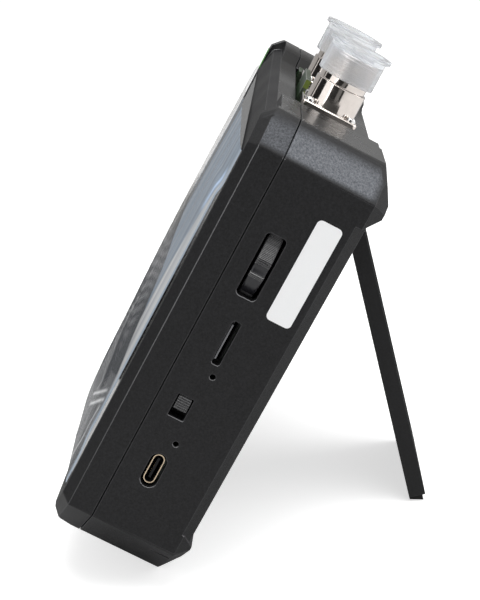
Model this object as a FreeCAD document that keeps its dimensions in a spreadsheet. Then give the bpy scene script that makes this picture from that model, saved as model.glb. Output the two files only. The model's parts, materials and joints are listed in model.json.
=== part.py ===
"""A hand-held antenna analyzer: a bevelled two-shell case with a touch display in front, two N-type
ports in the valley of its top end, controls and sockets in its right-hand side, and a kickstand
hinged in its back.

Every piece is drawn with the case upright: +X to the right-hand side, +Y from the front face to the
back, +Z up, the front face at y = 0 and the bottom end at z = 0. One placement then leans the whole
object back until the bottom edge of its back and the foot of the open stand are level, and stands it
on z = 0 with the middle of its bounding box over the origin.
"""
import FreeCAD, Part
import os
import re

import Sketcher

doc = FreeCAD.newDocument("AntennaAnalyzer")
sizes = doc.addObject("Spreadsheet::Sheet", "Sizes")

# Driving dimensions in millimetres, angles in degrees: alias, value, meaning.
DRIVING = (
    # case
    ("width", 180.0, "case, side to side"),
    ("height", 132.5, "case, bottom end to the tops of the corner bumpers"),
    ("depth", 36.8, "case, front face to back face"),
    ("wall", 2.4, "wall of both shells"),
    ("front_wall", 2.7, "front wall, which carries the glass"),
    ("top_cut", 9.0, "leg of the 45 degree cut of the top corners"),
    ("bottom_run", 16.0, "cut of the bottom corners, across the case"),
    ("bottom_rise", 13.5, "cut of the bottom corners, up the case"),
    ("front_bevel", 2.7, "bevel round the front face"),
    ("end_bevel", 3.4, "larger front bevel along the top end"),
    ("low_bevel", 6.8, "leg of the three-facet front bevel along the bottom end"),
    ("back_bevel", 3.0, "bevel round the back face"),
    ("parting", 9.8, "front face to the joint between the shells"),
    ("seam", 0.35, "open groove at the joint"),
    ("lip_width", 0.9, "locating lip of the front shell"),
    ("lip_reach", 0.8, "how far the lip passes the joint"),
    ("lip_gap", 0.15, "clearance round the lip"),
    ("valley_depth", 3.1, "floor of the top valley below the bumpers"),
    ("valley_half", 48.3, "half length of the valley floor"),
    ("strip_half", 76.0, "half length of the sloped strip above the display"),
    ("strip_drop", 11.5, "lower edge of the strip below the top of the case"),
    ("strip_depth", 1.5, "how far the strip falls back at its upper edge"),
    ("strip_lip", 1.6, "upper edge of the strip below the valley floor"),
    ("valley_front", 4.1, "front face to the front edge of the valley floor"),
    ("bumper_proud", 1.4, "lower back bumpers beyond the back face"),
    ("top_bumper_proud", 2.6, "upper back bumpers beyond the back face"),
    ("bumper_height", 16.0, "upper back bumper, down the side"),
    ("low_bumper_height", 20.0, "lower back bumper, up the side"),
    ("bumper_length", 32.0, "back bumper along the end"),
    ("bumper_slant", 12.0, "slant of the inner side of each back bumper"),
    ("bumper_bevel", 3.8, "bevel round each back bumper"),
    ("top_slope_run", 5.0, "top back slope, measured along the depth"),
    ("top_slope_drop", 8.5, "top back slope, measured down the case"),
    ("low_slope_run", 3.0, "bottom back slope along the depth"),
    ("low_slope_rise", 7.0, "bottom back slope up the case"),
    # display
    ("glass_side", 7.0, "case side to the cover glass"),
    ("glass_low", 14.0, "bottom end of the case to the cover glass"),
    ("glass_top", 14.5, "cover glass to the top of the case"),
    ("glass_thick", 1.4, "cover glass"),
    ("glass_inset", 0.3, "glass below the front face"),
    ("glass_gap", 0.25, "clearance round the glass"),
    ("glass_ledge", 4.0, "ledge that carries the glass"),
    ("panel_side", 0.55, "side of the glass to the display panel"),
    ("panel_end", 2.0, "end of the glass to the display panel"),
    ("panel_thick", 3.5, "display panel"),
    ("panel_gap", 0.2, "front wall to the display panel"),
    ("gasket_gap", 0.4, "window edge to the gasket"),
    ("gasket_width", 1.5, "adhesive gasket frame"),
    ("ribbon_width", 30.0, "display ribbon"),
    ("ribbon_thick", 0.3, "display ribbon"),
    ("ribbon_height", 30.0, "height at which the ribbon crosses over"),
    ("ribbon_land", 9.0, "length of each end of the ribbon"),
    ("film_side", 4.0, "case side to the protective film"),
    ("film_low", 17.0, "bottom edge of the film"),
    ("film_top", 13.0, "film to the top of the case"),
    ("film_thick", 0.25, "film"),
    ("film_lift", 3.6, "how far the film arches off the glass"),
    ("film_seat", 0.05, "film edge to the front face"),
    ("pull_tab_width", 6.0, "pull tab of the film"),
    ("pull_tab_height", 8.0, "pull tab of the film"),
    ("pull_tab_side", 6.0, "side of the film to the pull tab"),
    # radio board
    ("board_thick", 1.6, "circuit boards"),
    ("radio_front", 10.8, "front face to the radio board"),
    ("radio_inset", 5.0, "case outline to the edge of the radio board"),
    ("slot_half", 47.0, "half length of the slot for the board's tabs"),
    ("slot_gap", 0.3, "slot behind the board"),
    ("middle_tab_half", 13.0, "half width of the board tab between the ports"),
    ("middle_tab_rise", 5.0, "middle tab above the valley floor"),
    ("side_tab_near", 34.5, "inner edge of the side tabs from the middle"),
    ("side_tab_far", 46.0, "outer edge of the side tabs from the middle"),
    ("side_tab_rise", 0.8, "side tabs above the valley floor"),
    ("shield_width", 46.0, "shield can"),
    ("shield_height", 34.0, "shield can"),
    ("shield_depth", 3.4, "shield can"),
    ("shield_sheet", 0.3, "sheet of the shield can"),
    ("shield_side", 54.0, "case side to the middle of each shield can"),
    ("shield_level", 70.0, "height of the middle of the shield cans"),
    # ports
    ("port_spacing", 47.0, "between the axes of the two ports"),
    ("port_depth", 19.9, "front face to the port axes"),
    ("flange", 17.5, "square flange"),
    ("flange_thick", 2.0, "flange"),
    ("barrel", 15.7, "smooth part of the port, diameter"),
    ("barrel_tall", 7.5, "smooth part of the port"),
    ("neck", 14.4, "undercut below the thread, diameter"),
    ("neck_tall", 2.3, "undercut below the thread"),
    ("thread", 15.8, "thread, outer diameter"),
    ("thread_tall", 7.1, "thread"),
    ("mouth", 9.0, "mouth of the port, diameter"),
    ("mouth_deep", 10.0, "mouth of the port"),
    ("stub", 9.4, "part of the port below its flange, diameter"),
    ("stub_tall", 6.0, "part of the port below its flange"),
    ("stub_gap", 0.2, "clearance round the stub"),
    ("insulator", 7.0, "insulator, diameter"),
    ("contact", 3.2, "centre contact, diameter"),
    ("contact_bore", 1.65, "centre contact, bore diameter"),
    ("contact_bore_deep", 5.0, "centre contact, bore"),
    ("contact_below", 1.8, "end of the contact below the mouth of the port"),
    ("lead", 1.3, "lead behind the port, diameter"),
    ("lead_drop", 5.0, "lead below the stub"),
    ("port_block_half", 9.5, "half width of the moulded block under a port"),
    ("port_block_back", 30.4, "back of the moulded block under a port"),
    ("flange_screw_off", 6.6, "flange screws from the port axis, both ways"),
    ("flange_screw", 1.6, "flange screw, diameter"),
    ("flange_screw_long", 5.5, "flange screw below the flange"),
    ("flange_head", 2.8, "flange screw head, diameter"),
    ("flange_head_tall", 1.1, "flange screw head"),
    ("hole_gap", 0.1, "clearance round a screw in a part it passes through, on the radius"),
    # dust caps
    ("cap_gap", 0.1, "clearance between the cap and the thread, on the radius"),
    ("cap_wall", 0.65, "wall of the cap"),
    ("cap_brim", 19.5, "brim of the cap, diameter"),
    ("cap_brim_thick", 1.3, "brim of the cap"),
    ("cap_cover", 7.4, "how far the cap reaches down over the port"),
    ("cap_seat", 0.15, "cap roof above the end of the port"),
    ("cap_roof", 1.8, "roof of the cap"),
    ("cap_dish", 14.5, "dish in the top of the cap, diameter"),
    ("cap_dish_deep", 0.9, "dish in the top of the cap"),
    # side board
    ("side_front", 20.2, "front face to the side board"),
    ("side_inner", 40.0, "case side to the inner edge of the side board"),
    ("side_margin", 3.5, "case side to the side board"),
    ("side_low", 22.0, "bottom edge of the side board"),
    ("side_step", 82.0, "top edge of the wide part of the side board"),
    ("side_neck", 31.7, "case side to the narrow part of the side board"),
    ("side_high", 110.0, "top edge of the side board"),
    ("link_inner", 30.0, "case side to the inner side of the board-to-board header"),
    ("link_width", 5.0, "board-to-board header"),
    ("link_low", 37.0, "board-to-board header, bottom"),
    ("link_tall", 20.0, "board-to-board header"),
    # USB-C
    ("usb_level", 33.2, "height of the USB-C receptacle"),
    ("usb_depth", 18.57, "front face to the middle of the receptacle"),
    ("usb_wide", 8.94, "receptacle shell"),
    ("usb_thin", 3.26, "receptacle shell"),
    ("usb_sheet", 0.3, "receptacle shell, sheet"),
    ("usb_long", 7.35, "receptacle shell"),
    ("usb_inset", 1.2, "mouth of the receptacle behind the case side"),
    ("usb_gap", 0.7, "opening of the case round the receptacle"),
    ("tongue_wide", 6.2, "tongue of the receptacle"),
    ("tongue_thin", 0.7, "tongue of the receptacle"),
    ("tongue_inset", 0.7, "end of the tongue behind the mouth"),
    # microSD
    ("card_level", 73.8, "height of the card socket"),
    ("card_wide", 14.0, "card socket"),
    ("card_thin", 1.8, "card socket"),
    ("card_long", 14.5, "card socket"),
    ("card_sheet", 0.45, "cover sheet of the card socket"),
    ("card_slot_wide", 11.2, "card slot"),
    ("card_slot_thin", 0.95, "card slot"),
    ("card_lip_wide", 10.4, "lip of the card socket's cover"),
    ("card_lip_reach", 1.9, "how far the lip reaches into the wall"),
    ("card_window_wide", 13.0, "opening of the case for the card"),
    ("card_window_thin", 2.3, "opening of the case for the card"),
    ("card_window_round", 0.7, "corners of the opening for the card"),
    # power switch
    ("switch_level", 52.6, "height of the power switch"),
    ("switch_depth", 16.9, "front face to the middle of the power switch"),
    ("switch_long", 9.0, "switch body"),
    ("switch_deep", 3.6, "switch body, into the case"),
    ("switch_window_long", 6.7, "opening of the case for the knob"),
    ("switch_window_thin", 4.5, "opening of the case for the knob"),
    ("switch_window_round", 0.35, "corners of the opening for the knob"),
    ("switch_travel", 2.0, "travel of the knob"),
    ("knob_gap", 0.4, "knob to the sides of its opening"),
    ("knob_end_gap", 0.35, "knob to the end of its opening"),
    ("knob_proud", 0.3, "knob beyond the case side"),
    ("knob_sink", 1.6, "knob inside the switch body"),
    ("knob_floor", 0.2, "knob to the floor of the switch body"),
    # jog wheel
    ("jog_level", 96.1, "height of the jog wheel"),
    ("jog_depth", 17.8, "front face to the middle of the jog wheel"),
    ("jog_slot_long", 18.3, "slot of the jog wheel"),
    ("jog_slot_thin", 5.7, "slot of the jog wheel"),
    ("jog_slot_round", 1.3, "corners of the slot"),
    ("jog_radius", 13.0, "jog wheel"),
    ("jog_thick", 4.1, "jog wheel"),
    ("jog_proud", 0.8, "jog wheel beyond the case side"),
    ("jog_press", 0.5, "travel of the wheel when it is pressed in"),
    ("axle", 3.0, "axle of the jog wheel, diameter"),
    ("axle_gap", 0.08, "running clearance on the axle, on the radius"),
    ("yoke_gap", 0.2, "clearance beside the wheel, and round the yoke"),
    ("yoke_arm", 0.9, "arm of the yoke"),
    ("yoke_half", 3.5, "half height of the yoke"),
    ("yoke_web", 2.2, "web of the yoke"),
    ("yoke_nose", 2.7, "yoke beyond the axle"),
    ("frame_sheet", 0.9, "plates of the jog frame"),
    ("frame_web", 1.5, "web of the jog frame"),
    ("frame_free", 2.0, "jog frame to the yoke at rest"),
    ("frame_half", 6.0, "half height of the jog frame"),
    ("frame_reach", 6.0, "jog frame's guides along the yoke"),
    ("frame_foot", 6.0, "foot of the jog frame on the side board"),
    # reset switch and charge light
    ("pinhole", 1.6, "pinholes of the case, diameter"),
    ("reset_level", 64.0, "height of the reset pinhole"),
    ("light_level", 42.7, "height of the light pinhole"),
    ("pinhole_depth", 20.4, "front face to the pinholes"),
    ("reset_half", 2.2, "half height of the reset switch"),
    ("reset_thick", 3.0, "reset switch"),
    ("reset_deep", 4.1, "reset switch, into the case"),
    ("reset_gap", 1.3, "case wall to the reset switch"),
    ("plunger", 1.6, "reset plunger, diameter"),
    ("plunger_gap", 0.1, "clearance round the plunger, on the radius"),
    ("plunger_out", 0.9, "plunger outside its switch"),
    ("plunger_in", 0.9, "plunger inside its switch"),
    ("reset_travel", 0.3, "travel of the reset plunger"),
    ("light_half", 1.6, "half height of the charge light"),
    ("light_thick", 1.8, "charge light"),
    ("light_deep", 2.4, "charge light, into the case"),
    ("light_gap", 0.7, "case wall to the charge light"),
    ("notch_gap", 0.1, "board notch round a part"),
    # side label
    ("label_level", 99.4, "height of the middle of the label"),
    ("label_depth", 28.3, "front face to the middle of the label"),
    ("label_long", 29.4, "label"),
    ("label_wide", 7.0, "label"),
    ("label_round", 1.3, "label corners"),
    ("label_thick", 0.15, "label"),
    # battery
    ("battery_left", 70.0, "left edge of the battery from the middle"),
    ("battery_wide", 98.0, "battery pack"),
    ("battery_low", 30.0, "bottom of the battery"),
    ("battery_tall", 68.0, "battery pack"),
    ("battery_front", 19.4, "front face to the battery"),
    ("battery_thick", 8.5, "battery pack"),
    ("battery_round", 2.5, "battery pack edges"),
    ("pad_half", 24.0, "half width of the battery pad"),
    ("pad_low", 38.0, "bottom of the battery pad"),
    ("pad_tall", 50.0, "battery pad"),
    ("wire", 1.6, "battery lead, diameter"),
    ("wire_level", 92.0, "height of the battery lead"),
    # fasteners
    ("case_screw_inner", 16.5, "case side to the lower case screws"),
    ("case_screw_outer", 11.5, "case side to the upper case screws"),
    ("case_screw_low", 11.5, "height of the lower case screws"),
    ("case_screw_high", 12.7, "upper case screws below the top of the case"),
    ("boss", 7.0, "front shell boss, diameter"),
    ("post", 8.0, "rear shell post, diameter"),
    ("insert", 3.6, "threaded insert, diameter"),
    ("insert_long", 5.0, "threaded insert"),
    ("case_screw", 2.5, "case screw, diameter"),
    ("case_head", 4.6, "case screw head, diameter"),
    ("case_head_tall", 2.0, "case screw head"),
    ("case_head_gap", 0.4, "clearance round the case screw head, on the radius"),
    ("case_seat", 20.0, "front face to the seat of the case screw head"),
    ("board_screw_side", 40.0, "lower board screws from the middle"),
    ("board_screw_low", 10.0, "height of the lower board screws"),
    ("board_screw_wide", 58.0, "upper board screws from the middle"),
    ("board_screw_high", 11.5, "upper board screws below the top of the case"),
    ("board_boss", 5.0, "board bosses, diameter"),
    ("board_screw", 1.9, "board screws, diameter"),
    ("board_screw_long", 4.5, "board screws below the board"),
    ("board_head", 3.6, "board screw head, diameter"),
    ("board_head_tall", 1.2, "board screw head"),
    ("side_screw_inner", 34.0, "case side to the inner side-board screws"),
    ("side_screw_outer", 12.0, "case side to the outer side-board screw"),
    ("side_screw_low", 26.5, "lower inner side-board screw"),
    ("side_screw_high", 77.0, "upper inner side-board screw"),
    ("side_screw_mid", 59.5, "outer side-board screw"),
    # stand
    ("stand_width", 51.0, "kickstand"),
    ("stand_thick", 5.2, "kickstand"),
    ("stand_length", 104.5, "hinge axis to the foot"),
    ("stand_proud", 0.4, "closed stand beyond the back face"),
    ("stand_under", 0.25, "closed stand to the floor of its recess"),
    ("stand_side_gap", 0.4, "recess beside the stand"),
    ("stand_end_gap", 0.4, "recess below the foot"),
    ("stand_rim", 4.5, "rim round the hollow in the stand's outer face"),
    ("stand_hollow", 1.2, "hollow in the stand's outer face"),
    ("hinge_level", 114.0, "height of the hinge axis"),
    ("heel", 1.42, "stand beyond its hinge axis"),
    ("stop_gap", 0.05, "open stand's heel to the stop"),
    ("open_angle", 41.4, "opening of the stand"),
    ("foot_pad", 2.0, "rubber foot of the stand"),
    ("foot_side", 1.5, "stand's side to the rubber foot"),
    ("foot_edge", 1.0, "outer face of the stand to the rubber foot"),
    ("hinge_pin", 2.4, "hinge pin, diameter"),
    ("pin_gap", 0.06, "running clearance on the hinge pin, on the radius"),
    ("pin_inside", 6.0, "hinge pin in the stand"),
    ("pin_outside", 3.4, "hinge pin in the case"),
    ("recess_wall", 2.0, "wall behind the stand's recess"),
    ("recess_rib", 4.0, "solid wall beside the stand's recess"),
    ("pocket_low", 10.0, "bottom of the rear shell's side pockets"),
    ("pocket_drop", 14.0, "top of the side pockets below the case top"),
    ("pocket_edge", 1.5, "extra wall at the back bevel"),
    ("scoop_half", 11.0, "half width of the finger scoop"),
    ("scoop_tall", 3.0, "finger scoop"),
    ("scoop_deep", 3.2, "finger scoop"),
    ("cut_margin", 1.0, "how far a cutting shape passes the surface"),
)

for row, (alias, value, meaning) in enumerate(DRIVING, start=1):
    sizes.set(f"A{row}", meaning)
    sizes.set(f"B{row}", str(value))
    sizes.setAlias(f"B{row}", alias)
doc.recompute()

ALIASES = {alias for alias, value, meaning in DRIVING}


def bound(text):
    """The expression text with each size's name written as a cell of the sheet."""
    def cell(word):
        return f"Sizes.{word[0]}" if word[0] in ALIASES else word[0]

    return re.sub(r"[a-z_]+[a-z]", cell, str(text))


def value(text):
    """The number that an expression has now."""
    return float(sizes.evalExpression(bound(text)))


# Places that several pieces share, as expressions.
SIDE = "(width / 2)"
FLOOR = "(height - valley_depth)"
GLASS_BACK = "(glass_inset + glass_thick)"
GLASS_HALF = "(width / 2 - glass_side)"
GLASS_MIDDLE = "((height - glass_top + glass_low) / 2)"
GLASS_HALF_TALL = "((height - glass_top - glass_low) / 2)"
FILM_HALF = "(width / 2 - film_side)"
FILM_HIGH = "(height - film_top)"
PANEL_FRONT = "(front_wall + panel_gap)"
PANEL_BACK = "(front_wall + panel_gap + panel_thick)"
RADIO_BACK = "(radio_front + board_thick)"
SIDE_BOARD_BACK = "(side_front + board_thick)"
SIDE_BOARD_EDGE = "(width / 2 - side_margin)"
SIDE_BOARD_INNER = "(width / 2 - side_inner)"
INNER_SIDE = "(width / 2 - wall)"
# The two inner corners of the three-facet bevel lie on a quarter circle, 30 degrees apart.
FACET_NEAR = "(low_bevel * (1 - cos(30)))"
FACET_FAR = "(low_bevel * (1 - sin(30)))"
HINGE_DEPTH = "(depth + stand_proud - stand_thick / 2)"
RECESS_FLOOR = "(depth + stand_proud - stand_thick - stand_under)"
CAVITY_BACK = "(depth + stand_proud - stand_thick - stand_under - recess_wall)"
POCKET_BACK = "(depth - wall)"
LOW_BACK = "(depth + bumper_proud)"
TOP_BACK = "(depth + top_bumper_proud)"
RECESS_HALF = "(stand_width / 2 + stand_side_gap)"
LOW_EDGE_DEPTH = "(depth + bumper_proud - low_slope_run)"
PORT_TOP = "(height - valley_depth + flange_thick + barrel_tall + neck_tall + thread_tall)"
THREAD_LOW = "(height - valley_depth + flange_thick + barrel_tall + neck_tall)"
WHEEL_SIDE = "(width / 2 + jog_proud - jog_radius)"
# The lean at which the low back edge of the case and the foot of the open stand are level.
LEAN = (
    "(atan((hinge_level - stand_length * cos(open_angle))"
    f" / ({HINGE_DEPTH} + stand_length * sin(open_angle) - {LOW_EDGE_DEPTH})) / 1 deg)"
)
FOOT_SLANT = f"(open_angle - {LEAN})"

PLANES = {"x": "YZ_Plane", "y": "XZ_Plane", "z": "XY_Plane"}
NODES = {}


def new_body(name):
    """A body whose label is its node's name."""
    body = doc.addObject("PartDesign::Body", name)
    body.Label = name
    NODES[name] = body
    return body


def attached_sketch(body, axis, level):
    """An empty sketch across an axis, at a level along it.

    Across x a sketch's own axes are (y, z), across y they are (x, z) and across z they are (x, y).
    """
    sketch = body.newObject("Sketcher::SketchObject", "Sketch")
    role = PLANES[axis]
    plane = next(item for item in body.Origin.OriginFeatures if item.Role == role)
    sketch.AttachmentSupport = [(plane, "")]
    sketch.MapMode = "FlatFace"
    turn = "-1 * " if axis == "y" else ""
    sketch.setExpression("AttachmentOffset.Base.z", bound(f"{turn}({level})"))
    return sketch


def hold(sketch, kind, *place, text):
    """Adds a constraint whose value is an expression of the sheet."""
    number = sketch.addConstraint(Sketcher.Constraint(kind, *place, value(text)))
    sketch.setExpression(f"Constraints[{number}]", bound(text))


def outline_sketch(body, axis, level, loops):
    """Closed polygons whose corners are pairs of expressions."""
    sketch = attached_sketch(body, axis, level)
    for points in loops:
        first = sketch.GeometryCount
        corners = [FreeCAD.Vector(value(across), value(up), 0) for across, up in points]
        for start, end in zip(corners, corners[1:] + corners[:1]):
            sketch.addGeometry(Part.LineSegment(start, end), False)
        count = len(points)
        for index, (across, up) in enumerate(points):
            line = first + index
            following = first + (index + 1) % count
            sketch.addConstraint(Sketcher.Constraint("Coincident", line, 2, following, 1))
            hold(sketch, "DistanceX", -1, 1, line, 1, text=across)
            hold(sketch, "DistanceY", -1, 1, line, 1, text=up)
    return sketch


def circle_sketch(body, axis, level, circles):
    """Circles given as expressions of their middle and radius."""
    sketch = attached_sketch(body, axis, level)
    for across, up, radius in circles:
        middle = FreeCAD.Vector(value(across), value(up), 0)
        index = sketch.addGeometry(Part.Circle(middle, FreeCAD.Vector(0, 0, 1), value(radius)), False)
        hold(sketch, "DistanceX", -1, 1, index, 3, text=across)
        hold(sketch, "DistanceY", -1, 1, index, 3, text=up)
        hold(sketch, "Radius", index, text=radius)
    return sketch


def extrude(body, kind, sketch, axis, length, taper=0.0):
    """Pads or pockets a sketch towards the positive end of its axis."""
    feature = body.newObject(f"PartDesign::{kind}", kind)
    feature.Profile = sketch
    # A sketch across y faces -Y, and a pocket cuts away from the side its sketch faces.
    feature.Reversed = (axis == "y") == (kind == "Pad")
    feature.setExpression("Length", bound(length))
    if taper:
        feature.TaperAngle = taper
    sketch.Visibility = False
    return feature


def rectangle(low_across, high_across, low_up, high_up):
    """The four corners of a rectangle."""
    return [
        (low_across, low_up),
        (high_across, low_up),
        (high_across, high_up),
        (low_across, high_up),
    ]


def around(middle_across, half_across, middle_up, half_up):
    """The four corners of a rectangle given by its middle and half sizes."""
    return rectangle(
        f"{middle_across} - ({half_across})",
        f"{middle_across} + ({half_across})",
        f"{middle_up} - ({half_up})",
        f"{middle_up} + ({half_up})",
    )


def pad(body, axis, start, end, *loops, taper=0.0):
    """Adds a prism of polygons between two levels of an axis."""
    sketch = outline_sketch(body, axis, start, loops)
    return extrude(body, "Pad", sketch, axis, f"({end}) - ({start})", taper)


def cut(body, axis, start, end, *loops):
    """Removes a prism of polygons between two levels of an axis."""
    return extrude(body, "Pocket", outline_sketch(body, axis, start, loops), axis, f"({end}) - ({start})")


def pad_round(body, axis, start, end, *circles):
    """Adds cylinders between two levels of an axis."""
    return extrude(body, "Pad", circle_sketch(body, axis, start, circles), axis, f"({end}) - ({start})")


def cut_round(body, axis, start, end, *circles):
    """Removes cylinders between two levels of an axis."""
    return extrude(body, "Pocket", circle_sketch(body, axis, start, circles), axis, f"({end}) - ({start})")


def box_node(name, x, y, z):
    """A node that is one plain block, given by its two levels along each axis."""
    body = new_body(name)
    pad(body, "y", y[0], y[1], rectangle(x[0], x[1], z[0], z[1]))
    return body


def stadium(body, maker, round_maker, start, end, middle, half_long, half_thin):
    """A slot shape across x, long in z, as a rectangle with a circle at each end."""
    depth_at, level_at = middle
    flat = f"({half_long}) - ({half_thin})"
    maker(body, "x", start, end, around(depth_at, half_thin, level_at, flat))
    for sign in ("+", "-"):
        round_maker(body, "x", start, end, (depth_at, f"{level_at} {sign} ({flat})", half_thin))


def rounded_window(body, start, end, middle, half_long, half_thin, corner):
    """Cuts an opening across x, long in z, as two crossed rectangles and a circle in each corner."""
    depth_at, level_at = middle
    short, narrow = f"{half_long} - {corner}", f"{half_thin} - {corner}"
    cut(body, "x", start, end, around(depth_at, half_thin, level_at, short))
    cut(body, "x", start, end, around(depth_at, narrow, level_at, half_long))
    corners = [
        (f"{depth_at} {back} ({narrow})", f"{level_at} {above} ({short})", corner)
        for back in ("-", "+")
        for above in ("-", "+")
    ]
    cut_round(body, "x", start, end, *corners)


def round_edges(body, axis, radius):
    """Rounds the edges of a block that run along an axis."""
    doc.recompute()
    block = body.Tip
    edges = [
        f"Edge{index}" for index, edge in enumerate(block.Shape.Edges, start=1)
        if abs(getattr(edge.tangentAt(0), axis)) > 0.9
    ]
    rounding = body.newObject("PartDesign::Fillet", "Fillet")
    rounding.Base = (block, edges)
    rounding.setExpression("Radius", bound(radius))


# Outlines of the case, seen from the front.

def case_outline():
    """The outer outline: an octagon with the valley in its top end."""
    right = [
        (f"{SIDE} - bottom_run", "0"),
        (SIDE, "bottom_rise"),
        (SIDE, "height - top_cut"),
        (f"{SIDE} - top_cut", "height"),
        ("valley_half + valley_depth", "height"),
        ("valley_half", FLOOR),
    ]
    left = [(f"-1 * ({across})", up) for across, up in reversed(right)]
    return right + left


def inner_outline(inset):
    """The octagon that lies inside the case at a distance, clear of the valley."""
    slant = "sqrt(bottom_run ^ 2 + bottom_rise ^ 2)"
    low_across = f"{SIDE} - bottom_run - ({inset}) * ({slant} - bottom_run) / bottom_rise"
    low_up = f"bottom_rise + ({inset}) * ({slant} - bottom_rise) / bottom_run"
    top_leg = f"top_cut - valley_depth - ({inset}) * (2 - sqrt(2))"
    right = [
        (low_across, f"{inset}"),
        (f"{SIDE} - ({inset})", low_up),
        (f"{SIDE} - ({inset})", f"{FLOOR} - ({inset}) - ({top_leg})"),
        (f"{SIDE} - ({inset}) - ({top_leg})", f"{FLOOR} - ({inset})"),
    ]
    left = [(f"-1 * ({across})", up) for across, up in reversed(right)]
    return right + left


CASE_SCREWS = [
    (f"{sign} * ({SIDE} - {side})", level)
    for side, level in (
        ("case_screw_inner", "case_screw_low"),
        ("case_screw_outer", "height - case_screw_high"),
    )
    for sign in (-1, 1)
]
BOARD_SCREWS = [(f"{sign} * board_screw_side", "board_screw_low") for sign in (-1, 1)] + [
    (f"{sign} * board_screw_wide", "height - board_screw_high") for sign in (-1, 1)
]
SIDE_SCREWS = [
    (f"{SIDE} - side_screw_inner", "side_screw_low"),
    (f"{SIDE} - side_screw_inner", "side_screw_high"),
    (f"{SIDE} - side_screw_outer", "side_screw_mid"),
]


def with_radius(places, radius):
    """Circles of one radius at several places."""
    return [(across, up, radius) for across, up in places]


def make_front_shell():
    """The front half: bevelled tray with a window, a ledge for the glass, bosses and the lip."""
    body = new_body("front_shell")
    edge = "parting - seam / 2"
    pad(body, "y", "front_bevel", edge, case_outline())
    nose = pad(body, "y", "front_bevel", "2 * front_bevel", case_outline(), taper=-45.0)
    nose.Reversed = False
    # The larger bevels of both ends and the sloped strip above the display.
    margin = "cut_margin"
    ends = [
        [(f"0 - {margin}", f"height - end_bevel - {margin}"),
         (f"end_bevel + {margin}", f"height + {margin}"),
         (f"0 - {margin}", f"height + {margin}")],
        [(f"0 - {margin}", "low_bevel"), ("0", "low_bevel"),
         (FACET_NEAR, FACET_FAR), (FACET_FAR, FACET_NEAR),
         ("low_bevel", "0"), ("low_bevel", f"0 - {margin}"), (f"0 - {margin}", f"0 - {margin}")],
    ]
    cut(body, "x", f"0 - {SIDE} - {margin}", f"{SIDE} + {margin}", *ends)
    strip = [
        ("0", "height - strip_drop"),
        ("strip_depth", f"{FLOOR} - strip_lip"),
        ("valley_front", FLOOR),
        ("valley_front", f"height + {margin}"),
        (f"0 - {margin}", f"height + {margin}"),
        (f"0 - {margin}", "height - strip_drop"),
    ]
    cut(body, "x", "0 - strip_half", "strip_half", strip)
    cut(body, "y", "front_wall", "parting", inner_outline("wall"))
    half_wide = f"{GLASS_HALF} + glass_gap"
    half_tall = f"{GLASS_HALF_TALL} + glass_gap"
    cut(body, "y", "0 - cut_margin", GLASS_BACK, around("0", half_wide, GLASS_MIDDLE, half_tall))
    half_wide = f"{GLASS_HALF} - glass_ledge"
    half_tall = f"{GLASS_HALF_TALL} - glass_ledge"
    cut(body, "y", "0", "parting", around("0", half_wide, GLASS_MIDDLE, half_tall))
    lip_outer = "wall - lip_width"
    pad(body, "y", "parting - seam - lip_reach", "parting + lip_reach",
        inner_outline(lip_outer), inner_outline("wall"))
    pad_round(body, "y", "front_wall - cut_margin", "radio_front", *with_radius(CASE_SCREWS, "boss / 2"))
    pad_round(body, "y", "front_wall - cut_margin", "radio_front",
              *with_radius(BOARD_SCREWS, "board_boss / 2"))
    cut_round(body, "y", "radio_front - insert_long", "radio_front + cut_margin",
              *with_radius(CASE_SCREWS, "insert / 2"))
    cut_round(body, "y", "radio_front - board_screw_long", "radio_front + cut_margin",
              *with_radius(BOARD_SCREWS, "board_screw / 2"))


def bumper(sign, end):
    """One back corner bumper, seen from the front, for a side (+1 or -1) and an end of the case."""
    if end == "top":
        corner = [
            (f"{SIDE} - bumper_length", "height"),
            (f"{SIDE} - top_cut", "height"),
            (SIDE, "height - top_cut"),
            (SIDE, "height - bumper_height"),
            (f"{SIDE} - bumper_length + bumper_slant", "height - bumper_height"),
        ]
    else:
        corner = [
            (f"{SIDE} - bumper_length", "0 - bumper_bevel"),
            (f"{SIDE} - bottom_run * (1 + bumper_bevel / bottom_rise)", "0 - bumper_bevel"),
            (SIDE, "bottom_rise"),
            (SIDE, "low_bumper_height"),
            (f"{SIDE} - bumper_length + bumper_slant", "low_bumper_height"),
        ]
    return [(f"{sign} * ({across})", up) for across, up in corner]


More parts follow.
